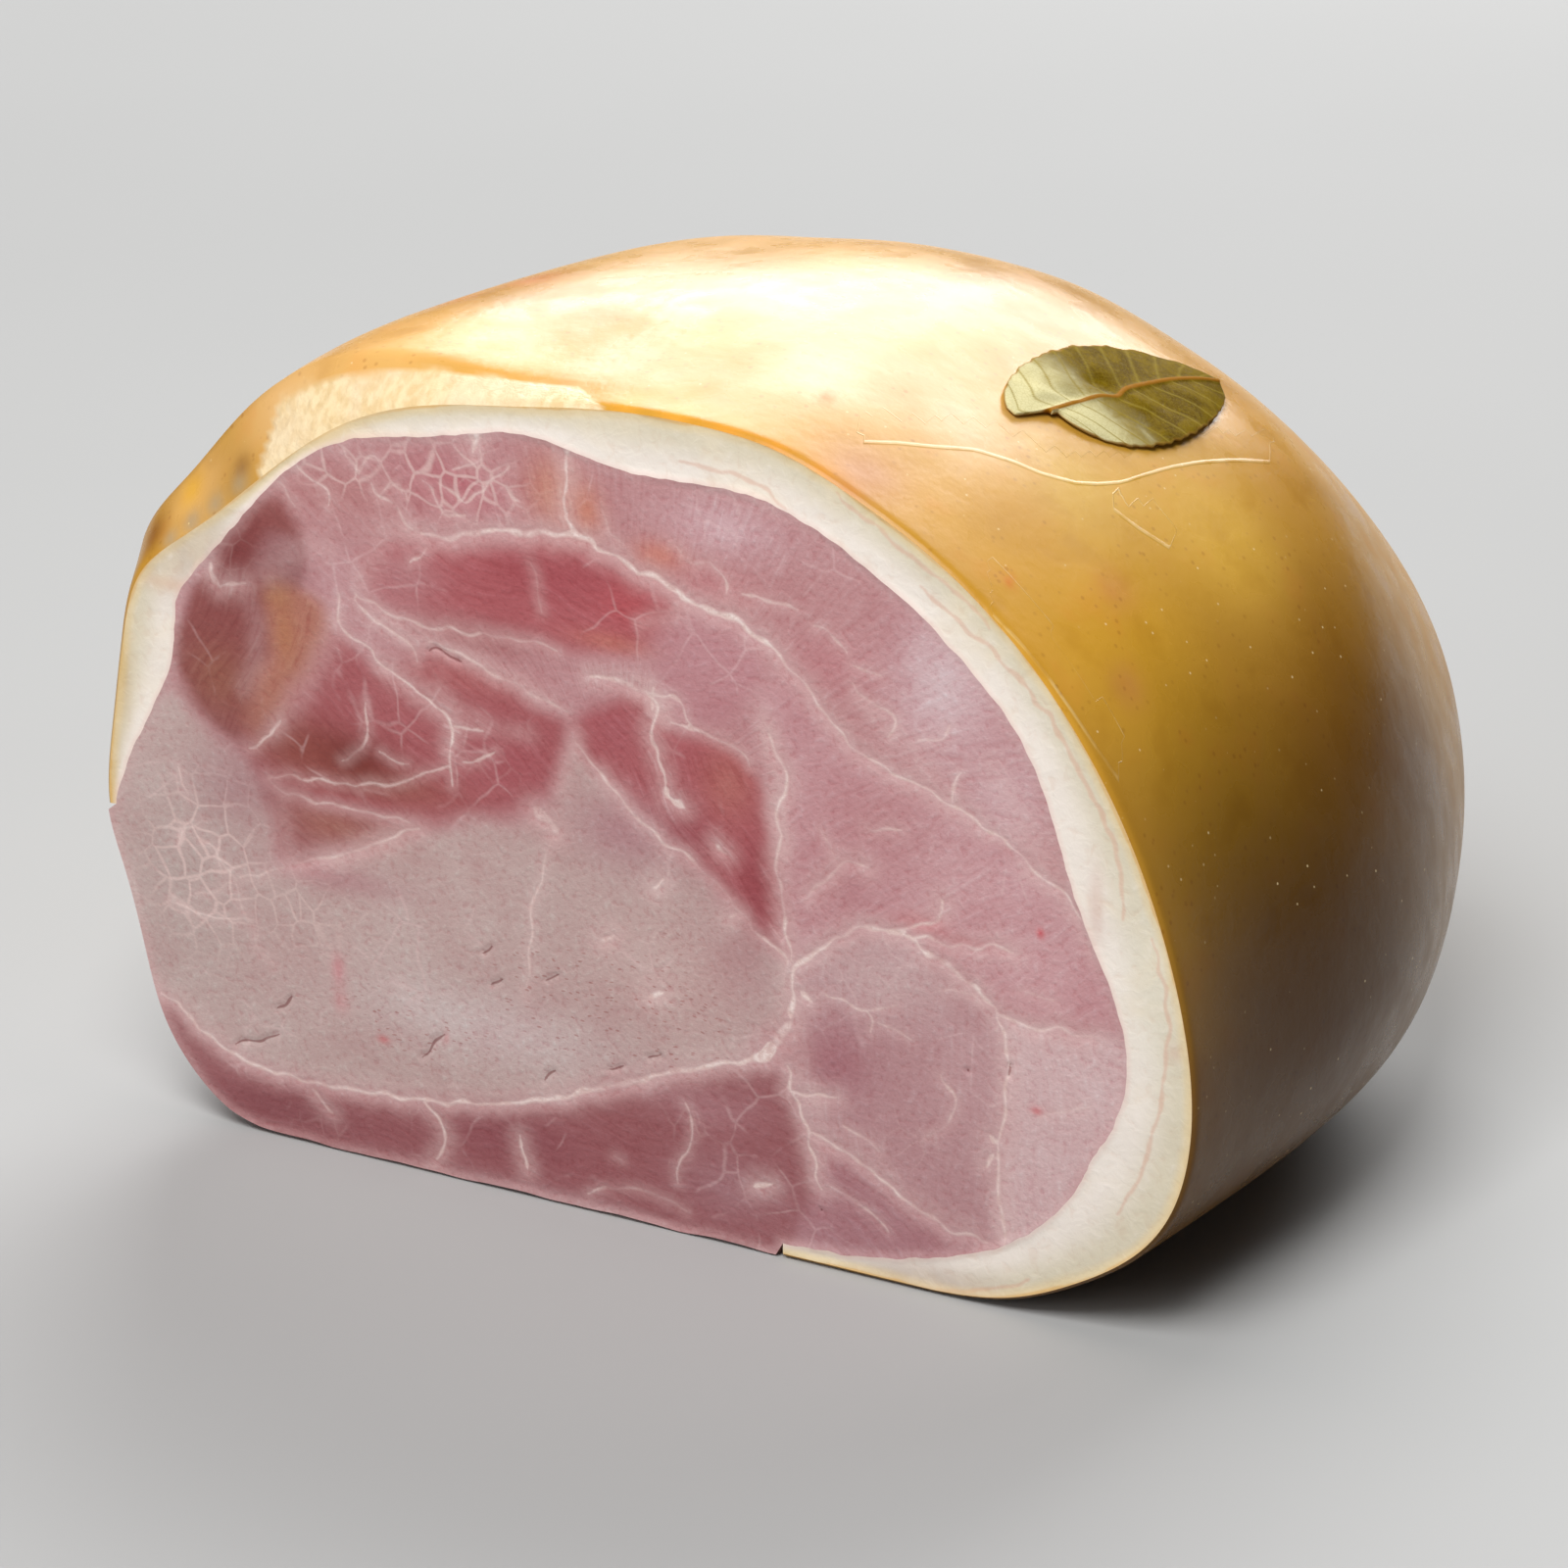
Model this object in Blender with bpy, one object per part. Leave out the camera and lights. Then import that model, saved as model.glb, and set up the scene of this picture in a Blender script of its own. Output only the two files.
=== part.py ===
"""Half of a boneless cooked ham, standing on its flat underside, with a bay leaf on its rind.

+Z is up, the flat cut face looks along -Y, and the rounded end is towards +Y. All sizes are in metres.
"""

import math

import bpy
import numpy as np
from mathutils import Vector
from mathutils.bvhtree import BVHTree

# Depth of the half, from the cut face to the rounded end.
LENGTH = 0.1824

# Edge of the cut face, from the lip of fat under the right side, over the top and down the left side:
# (x, height, thickness of the fat there).
COVERED_EDGE = (
    (0.0282, 0.0000, 0.0028),
    (0.0432, 0.0000, 0.0034),
    (0.0583, 0.0000, 0.0070),
    (0.0733, 0.0019, 0.0099),
    (0.0865, 0.0075, 0.0127),
    (0.0987, 0.0160, 0.0164),
    (0.1062, 0.0273, 0.0174),
    (0.1090, 0.0432, 0.0141),
    (0.1072, 0.0602, 0.0127),
    (0.1025, 0.0771, 0.0146),
    (0.0949, 0.0949, 0.0141),
    (0.0855, 0.1100, 0.0113),
    (0.0743, 0.1231, 0.0108),
    (0.0592, 0.1354, 0.0108),
    (0.0442, 0.1438, 0.0103),
    (0.0282, 0.1504, 0.0103),
    (0.0132, 0.1527, 0.0113),
    (-0.0066, 0.1527, 0.0108),
    (-0.0263, 0.1504, 0.0056),
    (-0.0451, 0.1476, 0.0064),
    (-0.0630, 0.1410, 0.0034),
    (-0.0799, 0.1288, 0.0028),
    (-0.0949, 0.1166, 0.0062),
    (-0.1072, 0.1062, 0.0099),
    (-0.1119, 0.0921, 0.0115),
    (-0.1147, 0.0752, 0.0066),
    (-0.1161, 0.0592, 0.0019),
)
# The rest of that edge, where the lean meat has no fat on it: (x, height).
BARE_EDGE = (
    (-0.1128, 0.0470),
    (-0.1090, 0.0329),
    (-0.1053, 0.0197),
    (-0.0987, 0.0094),
    (-0.0884, 0.0019),
    (-0.0733, 0.0000),
    (-0.0470, 0.0000),
    (-0.0207, 0.0000),
    (0.0056, 0.0000),
)
# How far a section reaches to the left, right, top and bottom. The first number is the station, in degrees
# along a quarter circle whose sine gives the depth, so that the loft closes in a round end.
STATIONS = (
    (15, 0.1156, 0.1123, 0.1589, 0.0000),
    (30, 0.1034, 0.1100, 0.1579, 0.0000),
    (45, 0.0884, 0.0987, 0.1457, 0.0038),
    (60, 0.0667, 0.0827, 0.1241, 0.0207),
    (75, 0.0385, 0.0508, 0.1006, 0.0451),
)
END_POINT = (-0.0075, 0.0743)
# The left and right reaches, and the top and bottom ones, pass into each other round this height.
MIDDLE_HEIGHT = 0.0658
SIDE_BLEND = 0.0282
HEIGHT_BLEND = 0.0235

# The fat behind the upper left of the cut is trimmed to a slope: how far it leans out and over what depth,
# the direction and spread of the trimmed stretch in degrees, and the share that is gone at the far end.
TRIM_REACH = 0.0113
TRIM_DEPTH = 0.0085
TRIM_DIRECTION = 138.0
TRIM_SPREAD = 24.0
TRIM_FADE = 0.8
TRIM_LEAN = (-math.sqrt(0.5), 0.0, math.sqrt(0.5))

# Fat away from the cut, its thin edge, and how quickly it changes from one to the other.
DEEP_FAT = 0.0085
THIN_FAT = 0.0017
FAT_CHANGE_DEPTH = 0.0752
FAT_EDGE_COLUMNS = 7
GAP = 0.0003

# The rings of the loft, as stations in degrees. Those behind the cut are shares of the trimmed depth.
NEAR_CUT_SHARES = (0.0, 1.0 / 3.0, 2.0 / 3.0, 1.0)
FIRST_STATION = 6.0
STATION_STEP = 5.0
LAST_STATION = 85.0
COVERED_COLUMNS = 54
BARE_COLUMNS = 20

# The rind covers the whole end beyond this station, also underneath. Before that it closes over these
# shares of the bare stretch, from below and from the left, within so many columns of its edge.
BARE_END_STATION = 51.0
BARE_CLOSING_BELOW = 0.30
BARE_CLOSING_LEFT = 0.30
SLIDE_COLUMNS = 5.0

# Low lumps of the rind, as waves in radians per metre along x, y and z. They fade out towards the cut
# and the table.
LUMP = 0.0007
LUMP_WAVES = ((47.0, 31.0, 0.0), (0.0, 61.0, -38.0), (44.0, 0.0, 52.0))
LUMP_FULL_DEPTH = 0.050
LUMP_START_HEIGHT = 0.010
LUMP_FULL_HEIGHT = 0.050

# The bay leaf, seen from above: (x, depth behind the cut) of its ends, and its sizes.
LEAF_STALK_END = (0.0493, 0.0461)
LEAF_TIP = (0.0564, 0.1081)
LEAF_HALF_WIDTH = 0.0111
LEAF_BLUNT_WIDTH = 0.0006
# The right half of the blade starts this share of the way up the rib. The two powers move the widest
# place towards the stalk and round the outline.
LEAF_RIGHT_START = 0.10
LEAF_WIDEST_POWER = 0.85
LEAF_ROUND_POWER = 0.62
LEAF_THICKNESS = 0.0008
LEAF_LIFT = 0.0006
# Height of the waves, and their radians along the whole leaf and from the rib to its edge.
LEAF_WAVE = 0.0009
LEAF_WAVES_ALONG = 9.0
LEAF_WAVES_ACROSS = 3.0
LEAF_RIB = 0.0006
LEAF_RIB_WIDTH = 0.0016
LEAF_ROWS = 22
LEAF_COLUMNS = 10
DROP_HEIGHT = 0.30

SHARP_DEGREES = 40.0
# Colour and roughness.
RIND_FINISH = (0.50, 0.28, 0.04), 0.35
MEAT_FINISH = (0.60, 0.24, 0.24), 0.40
LEAF_FINISH = (0.16, 0.15, 0.02), 0.45


def smooth_step(value):
    value = np.clip(value, 0.0, 1.0)
    return value * value * (3.0 - 2.0 * value)


def smooth_curve(knots, values, places):
    """A natural cubic spline through the values at the knots, read at the places."""
    knots = np.asarray(knots, float)
    values = np.asarray(values, float)
    count = len(knots)
    step = np.diff(knots)
    system = np.eye(count)
    right = np.zeros_like(values)
    for i in range(1, count - 1):
        system[i, i - 1 : i + 2] = step[i - 1], 2.0 * (step[i - 1] + step[i]), step[i]
        rise = (values[i + 1] - values[i]) / step[i]
        rise_before = (values[i] - values[i - 1]) / step[i - 1]
        right[i] = 6.0 * (rise - rise_before)
    bend = np.linalg.solve(system, right)
    cell = np.clip(np.searchsorted(knots, places, side="right") - 1, 0, count - 2)
    width = step[cell][:, None]
    along = (np.asarray(places) - knots[cell])[:, None]
    left = width - along
    cubic = (bend[cell] * left**3 + bend[cell + 1] * along**3) / (6.0 * width)
    start = values[cell] / width - bend[cell] * width / 6.0
    end = values[cell + 1] / width - bend[cell + 1] * width / 6.0
    return cubic + start * left + end * along


def rim_curve():
    """Knots and rows of the closed edge of the cut face, repeated past both ends to close it smoothly."""
    rows = np.array(list(COVERED_EDGE) + [(x, z, 0.0) for x, z in BARE_EDGE])
    wrap = len(BARE_EDGE)
    closed = np.vstack([rows[-wrap:], rows, rows[:wrap]])
    chord = np.hypot(np.diff(closed[:, 0]), np.diff(closed[:, 1]))
    return np.r_[0.0, np.cumsum(np.sqrt(chord))], closed, wrap


def rim_columns(depth_share):
    """Columns of one ring: x, height and fat round the edge, the covered ones first.

    The bare stretch narrows from the cut, where depth_share is 0, to its far end, where it is 1.
    """
    knots, closed, wrap = rim_curve()
    first = knots[wrap]
    last = knots[wrap + len(COVERED_EDGE) - 1]
    bare = knots[wrap + len(COVERED_EDGE) + len(BARE_EDGE)] - last
    slide = smooth_step(depth_share) ** 2
    start = first - slide * BARE_CLOSING_BELOW * bare
    end = last + slide * BARE_CLOSING_LEFT * bare
    column = np.arange(COVERED_COLUMNS + 1)
    near_start = np.exp(-column / SLIDE_COLUMNS)
    near_end = np.exp(-(COVERED_COLUMNS - column) / SLIDE_COLUMNS)
    even = np.linspace(first, last, COVERED_COLUMNS + 1)
    covered = even + near_start * (start - first) + near_end * (end - last)
    rest = np.linspace(end, start + (last + bare - first), BARE_COLUMNS + 1)[1:-1]
    edge = smooth_curve(knots, closed, np.r_[covered, rest])
    edge[:, 1] = np.maximum(edge[:, 1], 0.0)
    edge[: COVERED_COLUMNS + 1, 2] = np.maximum(edge[: COVERED_COLUMNS + 1, 2], THIN_FAT)
    edge[COVERED_COLUMNS + 1 :, 2] = 0.0
    return edge


def station_angles():
    """Where the rings stand: close together behind the cut, then in even steps towards the end point."""
    trim = np.degrees(np.arcsin(TRIM_DEPTH / LENGTH))
    even = np.arange(FIRST_STATION, LAST_STATION, STATION_STEP)
    return np.r_[trim * np.array(NEAR_CUT_SHARES), even, LAST_STATION]


def reaches(rim, angles):
    """Reach of each ring to the left, right, top and bottom."""
    first = (0.0, -rim[:, 0].min(), rim[:, 0].max(), rim[:, 1].max(), 0.0)
    last = (90.0, -END_POINT[0], END_POINT[0], END_POINT[1], END_POINT[1])
    rows = np.array([first, *STATIONS, last])
    return smooth_curve(rows[:, 0], rows[:, 1:], angles)


def plain_rings(edges, angles):
    """The loft without its trimmed slope: an array of points by ring and column."""
    rim = edges[0]
    left_end, right_end, top_end = -rim[:, 0].min(), rim[:, 0].max(), rim[:, 1].max()
    rings = []
    for edge, angle, (left, right, top, bottom) in zip(edges, angles, reaches(rim, angles)):
        share = math.sin(math.radians(angle))
        middle_x = END_POINT[0] * share**2
        middle_z = MIDDLE_HEIGHT + (END_POINT[1] - MIDDLE_HEIGHT) * share**2
        to_right = 0.5 * (1.0 + np.tanh(edge[:, 0] / SIDE_BLEND))
        to_top = 0.5 * (1.0 + np.tanh((edge[:, 1] - MIDDLE_HEIGHT) / HEIGHT_BLEND))
        wide_right = (right - middle_x) / right_end
        wide_left = (left + middle_x) / left_end
        above = (top - middle_z) / (top_end - MIDDLE_HEIGHT)
        below = (middle_z - bottom) / MIDDLE_HEIGHT
        wide = to_right * wide_right + (1.0 - to_right) * wide_left
        high = to_top * above + (1.0 - to_top) * below
        x = middle_x + edge[:, 0] * wide
        z = middle_z + (edge[:, 1] - MIDDLE_HEIGHT) * high
        rings.append(np.c_[x, np.full(len(x), share * LENGTH), np.maximum(z, 0.0)])
    return np.array(rings)


def outward(rings):
    """Unit normals of the rings. On the cut face they lie in the plane of the cut."""
    around = np.roll(rings, -1, axis=1) - np.roll(rings, 1, axis=1)
    along = np.gradient(rings, axis=0)
    normal = np.cross(along, around)
    normal[0, :, 1] = 0.0
    return normal / np.linalg.norm(normal, axis=2, keepdims=True)


def fat_depth(edges, rings, bare_end):
    """Thickness of the fat by ring and column, zero where the lean is bare."""
    column = np.arange(edges.shape[1])
    covered = column <= COVERED_COLUMNS
    from_side = np.minimum(column, COVERED_COLUMNS - column)
    ramp = np.where(covered, smooth_step(from_side / FAT_EDGE_COLUMNS), 0.0)
    deep = THIN_FAT + (DEEP_FAT - THIN_FAT) * ramp
    bare_end_depth = rings[bare_end, 0, 1]
    fat = np.zeros(rings.shape[:2])
    for i, depth in enumerate(rings[:, 0, 1]):
        change = smooth_step(depth / FAT_CHANGE_DEPTH)
        row = edges[i, :, 2] * (1.0 - change) + deep * change
        if i >= bare_end:
            closing = smooth_step((depth - bare_end_depth) / (LENGTH - bare_end_depth))
            fat[i] = np.maximum(row + (DEEP_FAT - row) * closing, THIN_FAT)
        else:
            fat[i] = np.where(covered, row, 0.0)
    return fat


def trimmed(edges, rings):
    """How far the outer surface leans out behind the trimmed edge."""
    direction = np.degrees(np.arctan2(edges[:, :, 1] - MIDDLE_HEIGHT, edges[:, :, 0]))
    stretch = np.exp(-(((direction - TRIM_DIRECTION) / TRIM_SPREAD) ** 2))
    width = rings[:, :, 0].max(axis=1) - rings[:, :, 0].min(axis=1)
    depth = rings[:, 0, 1]
    fade = 1.0 - TRIM_FADE * smooth_step(depth / LENGTH)
    amount = TRIM_REACH * np.minimum(depth / TRIM_DEPTH, 1.0) * fade * width / width[0]
    return (amount[:, None] * stretch)[:, :, None] * np.array(TRIM_LEAN)


def lumps(rings):
    """Low swellings of the rind, none at the cut and none near the table."""
    wave = sum(np.sin(rings @ np.array(direction)) for direction in LUMP_WAVES)
    fade = smooth_step(rings[:, :, 1] / LUMP_FULL_DEPTH)
    rise = (rings[:, :, 2] - LUMP_START_HEIGHT) / (LUMP_FULL_HEIGHT - LUMP_START_HEIGHT)
    return LUMP * wave * fade * smooth_step(rise)


def sheet_faces(ring_count, column_count, has_face):
    """Triangles between the rings and to the end point, for the cells where has_face is true."""
    faces = []
    for i in range(ring_count):
        for j in range(column_count):
            if not has_face(i, j):
                continue
            a = i * column_count + j
            b = i * column_count + (j + 1) % column_count
            if i == ring_count - 1:
                faces.append((a, ring_count * column_count, b))
            else:
                faces.append((a, a + column_count, b + column_count))
                faces.append((a, b + column_count, b))
    return faces


def rim_edges(faces):
    """Edges that only one face has, in that face's direction."""
    directed = [(face[k], face[(k + 1) % len(face)]) for face in faces for k in range(len(face))]
    present = set(directed)
    return [(a, b) for a, b in directed if (b, a) not in present]


def used_only(points, faces):
    """The same surface without the points that no face uses."""
    used = sorted({v for face in faces for v in face})
    new = {old: i for i, old in enumerate(used)}
    return points[used], [tuple(new[v] for v in face) for face in faces]


def shell(outer, inner, faces):
    """A closed wall between two sheets with the same faces."""
    count = len(outer)
    points = np.vstack([outer, inner])
    back = [tuple(count + v for v in reversed(face)) for face in faces]
    side = [(b, a, count + a, count + b) for a, b in rim_edges(faces)]
    return used_only(points, faces + back + side)


def material(name, finish):
    colour, roughness = finish
    made = bpy.data.materials.new(name)
    made.use_nodes = True
    shader = made.node_tree.nodes["Principled BSDF"]
    shader.inputs["Base Color"].default_value = (*colour, 1.0)
    shader.inputs["Roughness"].default_value = roughness
    shader.inputs["Metallic"].default_value = 0.0
    return made


def add_object(name, points, faces, surface):
    mesh = bpy.data.meshes.new(name)
    mesh.from_pydata([tuple(p) for p in points], [], faces)
    mesh.validate()
    mesh.shade_smooth()
    mesh.set_sharp_from_angle(angle=math.radians(SHARP_DEGREES))
    mesh.materials.append(surface)
    made = bpy.data.objects.new(name, mesh)
    bpy.context.scene.collection.objects.link(made)
    return made


def add_meat(lean, lean_end):
    """The lean core: bare at the cut, on the lower left side and underneath."""
    ring_count, column_count = lean.shape[:2]
    faces = sheet_faces(ring_count, column_count, lambda i, j: True)
    faces.append(tuple(range(column_count)))
    points = np.vstack([lean.reshape(-1, 3), lean_end])
    return add_object("meat", points, faces, material("lean", MEAT_FINISH))


def add_fat_rind(outer, inner, outer_end, inner_end, bare_end):
    """The cap of fat with its rind, open where the lean is bare and closed round the end."""
    ring_count, column_count = outer.shape[:2]
    faces = sheet_faces(ring_count, column_count, lambda i, j: j < COVERED_COLUMNS or i >= bare_end)
    outer_sheet = np.vstack([outer.reshape(-1, 3), outer_end])
    inner_sheet = np.vstack([inner.reshape(-1, 3), inner_end])
    points, faces = shell(outer_sheet, inner_sheet, faces)
    return add_object("fat_rind", points, faces, material("rind", RIND_FINISH))


def leaf_half_width(along, place):
    """Width of the blade beside its rib, on the right where place is positive."""
    start = LEAF_RIGHT_START if place > 0 else 0.0
    share = max(along - start, 0.0) / (1.0 - start)
    bulge = math.sin(math.pi * share**LEAF_WIDEST_POWER) ** LEAF_ROUND_POWER
    return LEAF_HALF_WIDTH * bulge + LEAF_BLUNT_WIDTH


def add_bay_leaf(rind, shift):
    """A thin wavy leaf laid on the rind, with its raised rib along the middle."""
    tree = BVHTree.FromObject(rind, bpy.context.evaluated_depsgraph_get())
    start = np.array(LEAF_STALK_END) + shift[:2]
    rib_line = np.array(LEAF_TIP) - np.array(LEAF_STALK_END)
    across = np.array([rib_line[1], -rib_line[0]]) / np.linalg.norm(rib_line)
    low, high = [], []
    for along in np.linspace(0.0, 1.0, LEAF_ROWS + 1):
        for place in np.linspace(-1.0, 1.0, LEAF_COLUMNS + 1):
            side = place * leaf_half_width(along, place)
            x, y = start + rib_line * along + across * side
            hit, normal, _, _ = tree.ray_cast(Vector((x, y, DROP_HEIGHT)), Vector((0.0, 0.0, -1.0)))
            wave = 0.5 + 0.5 * math.sin(LEAF_WAVES_ALONG * along + LEAF_WAVES_ACROSS * place) * abs(place)
            rib = LEAF_RIB * math.exp(-((side / LEAF_RIB_WIDTH) ** 2))
            under = hit + normal * (LEAF_LIFT + LEAF_WAVE * wave)
            low.append(under)
            high.append(under + normal * (LEAF_THICKNESS + rib))
    faces = []
    for i in range(LEAF_ROWS):
        for j in range(LEAF_COLUMNS):
            a = i * (LEAF_COLUMNS + 1) + j
            b = a + LEAF_COLUMNS + 1
            faces.append((b + 1, b, a))
            faces.append((a + 1, b + 1, a))
    points, faces = shell(np.array(high), np.array(low), faces)
    return add_object("bay_leaf", points, faces, material("leaf", LEAF_FINISH))


def clear_scene():
    for old in list(bpy.data.objects):
        bpy.data.objects.remove(old)


def main():
    clear_scene()
    angles = station_angles()
    bare_end = int(np.argmin(np.abs(angles - BARE_END_STATION)))
    edges = np.array([rim_columns(share) for share in np.minimum(angles / BARE_END_STATION, 1.0)])
    rings = plain_rings(edges, angles)
    normals = outward(rings)
    fat = fat_depth(edges, rings, bare_end)

    lean = rings - normals * fat[:, :, None]
    inner = rings - normals * np.maximum(fat - GAP, 0.0)[:, :, None]
    outer = rings + trimmed(edges, rings) + normals * lumps(rings)[:, :, None]
    lean[:, :, 2] = np.maximum(lean[:, :, 2], 0.0)
    outer[:, :, 2] = np.maximum(outer[:, :, 2], 0.0)

    end = np.array([END_POINT[0], LENGTH, END_POINT[1]])
    low = np.minimum(outer.reshape(-1, 3).min(axis=0), end)
    high = np.maximum(outer.reshape(-1, 3).max(axis=0), end)
    shift = np.array([-(low[0] + high[0]) / 2.0, -(low[1] + high[1]) / 2.0, 0.0])
    lean_end = end - np.array([0.0, DEEP_FAT, 0.0])
    inner_end = end - np.array([0.0, DEEP_FAT - GAP, 0.0])
    add_meat(lean + shift, lean_end + shift)
    rind = add_fat_rind(outer + shift, inner + shift, end + shift, inner_end + shift, bare_end)
    add_bay_leaf(rind, shift)


main()
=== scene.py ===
"""Looks of half a boneless cooked ham.

The cut face, the fat with its rind, the bay leaf, the light and the camera.
"""

import math

import bpy
import numpy as np
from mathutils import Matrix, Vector
from mathutils.bvhtree import BVHTree
from mathutils.geometry import delaunay_2d_cdt


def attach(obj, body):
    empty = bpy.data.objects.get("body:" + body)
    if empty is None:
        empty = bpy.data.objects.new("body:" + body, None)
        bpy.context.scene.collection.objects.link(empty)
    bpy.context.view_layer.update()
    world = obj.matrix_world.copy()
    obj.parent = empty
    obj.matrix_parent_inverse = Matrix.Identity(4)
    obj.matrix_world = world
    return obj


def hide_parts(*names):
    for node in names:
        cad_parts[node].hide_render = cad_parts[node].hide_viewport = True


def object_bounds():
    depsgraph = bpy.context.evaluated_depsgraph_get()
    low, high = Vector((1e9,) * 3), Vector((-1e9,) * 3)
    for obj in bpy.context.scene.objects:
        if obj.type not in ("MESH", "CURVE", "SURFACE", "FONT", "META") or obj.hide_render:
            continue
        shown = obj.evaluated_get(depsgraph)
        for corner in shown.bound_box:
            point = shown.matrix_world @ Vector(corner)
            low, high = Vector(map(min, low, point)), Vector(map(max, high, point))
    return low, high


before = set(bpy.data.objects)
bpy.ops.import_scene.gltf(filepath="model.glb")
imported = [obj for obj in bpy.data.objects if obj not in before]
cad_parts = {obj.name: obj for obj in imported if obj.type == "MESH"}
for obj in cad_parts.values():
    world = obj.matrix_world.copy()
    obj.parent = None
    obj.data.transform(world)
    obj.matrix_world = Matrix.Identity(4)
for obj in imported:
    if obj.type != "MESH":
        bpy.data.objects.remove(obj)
cad_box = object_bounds()

# The camera, which looks at the ham from the right of its cut face and from above. Places on the cut are
# given below as pixels of the photograph that it matches, 1600 across and 1600 down.
PHOTO_PIXELS = 1600
CAMERA_AZIMUTH = 30.0
CAMERA_ELEVATION = 20.5
CAMERA_DISTANCE = 1.222
CAMERA_ANGLE = 13.765
CAMERA_TARGET = (-0.0164, -0.0113, 0.0554)
SENSOR = 36.0

MM = 0.001

# The form of the solids, in metres: the edge of the cut as (x, height, thickness of the fat), the reach of
# the sections behind it, and how the fat and the bare lean change with the depth.
LENGTH = 0.1824
COVERED_EDGE = (
    (0.0282, 0.0000, 0.0028), (0.0432, 0.0000, 0.0034), (0.0583, 0.0000, 0.0070),
    (0.0733, 0.0019, 0.0099), (0.0865, 0.0075, 0.0127), (0.0987, 0.0160, 0.0164),
    (0.1062, 0.0273, 0.0174), (0.1090, 0.0432, 0.0141), (0.1072, 0.0602, 0.0127),
    (0.1025, 0.0771, 0.0146), (0.0949, 0.0949, 0.0141), (0.0855, 0.1100, 0.0113),
    (0.0743, 0.1231, 0.0108), (0.0592, 0.1354, 0.0108), (0.0442, 0.1438, 0.0103),
    (0.0282, 0.1504, 0.0103), (0.0132, 0.1527, 0.0113), (-0.0066, 0.1527, 0.0108),
    (-0.0263, 0.1504, 0.0056), (-0.0451, 0.1476, 0.0064), (-0.0630, 0.1410, 0.0034),
    (-0.0799, 0.1288, 0.0028), (-0.0949, 0.1166, 0.0062), (-0.1072, 0.1062, 0.0099),
    (-0.1119, 0.0921, 0.0115), (-0.1147, 0.0752, 0.0066), (-0.1161, 0.0592, 0.0019),
)
BARE_EDGE = (
    (-0.1128, 0.0470), (-0.1090, 0.0329), (-0.1053, 0.0197), (-0.0987, 0.0094), (-0.0884, 0.0019),
    (-0.0733, 0.0000), (-0.0470, 0.0000), (-0.0207, 0.0000), (0.0056, 0.0000),
)
STATIONS = (
    (15, 0.1156, 0.1123, 0.1589, 0.0000),
    (30, 0.1034, 0.1100, 0.1579, 0.0000),
    (45, 0.0884, 0.0987, 0.1457, 0.0038),
    (60, 0.0667, 0.0827, 0.1241, 0.0207),
    (75, 0.0385, 0.0508, 0.1006, 0.0451),
)
END_POINT = (-0.0075, 0.0743)
MIDDLE_HEIGHT = 0.0658
SIDE_BLEND = 0.0282
HEIGHT_BLEND = 0.0235
TRIM_REACH = 0.0113
TRIM_DEPTH = 0.0085
TRIM_DIRECTION = 138.0
TRIM_SPREAD = 24.0
TRIM_FADE = 0.8
TRIM_LEAN = (-math.sqrt(0.5), 0.0, math.sqrt(0.5))
DEEP_FAT = 0.0085
THIN_FAT = 0.0017
FAT_CHANGE_DEPTH = 0.0752
BARE_END_STATION = 51.0
BARE_CLOSING_BELOW = 0.30
BARE_CLOSING_LEFT = 0.30
LAST_STATION = 85.0
LUMP = 0.0007
LUMP_WAVES = ((47.0, 31.0, 0.0), (0.0, 61.0, -38.0), (44.0, 0.0, 52.0))
LUMP_FULL_DEPTH = 0.050
LUMP_START_HEIGHT = 0.010
LUMP_FULL_HEIGHT = 0.050

# Fine forms that the solids don't have: the rounding of the cut's rim, the ragged foot of the cut, the
# uneven inner edge of the fat, and how far the lean stays behind the inner side of the fat.
RIM_ROUNDING = 0.7 * MM
RIM_ROUNDING_DEPTH = 1.6 * MM
RAGGED_FOOT = 0.7 * MM
FOOT_DEPTH = 3.0 * MM
UNEVEN_FAT = 0.35 * MM
HIDDEN_GAP = 0.6 * MM

# How finely it is made here: columns round a section, in parts of those of the solids, depths of the first
# rings in metres, and steps between the others in degrees of the round end.
REFINE = 6
COVERED_COLUMNS = 54 * REFINE
BARE_COLUMNS = 20 * REFINE
FAT_EDGE_COLUMNS = 7 * REFINE
SLIDE_COLUMNS = 5.0 * REFINE
NEAR_CUT_DEPTHS = (0.0, 0.0004, 0.0009, 0.0015, 0.0023, 0.0032, 0.0042, 0.0053, 0.0064, 0.0075, 0.0085)
RIND_STEP = 1.1
LEAN_STEP = 3.4


def smooth_step(value):
    """0 below 0 and 1 above 1, with a soft change between them."""
    value = np.clip(value, 0.0, 1.0)
    return value * value * (3.0 - 2.0 * value)


def bell(distance, reach):
    """1 at no distance, and falling softly to nothing at about twice the reach."""
    return np.exp(-((distance / reach) ** 2))


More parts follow.
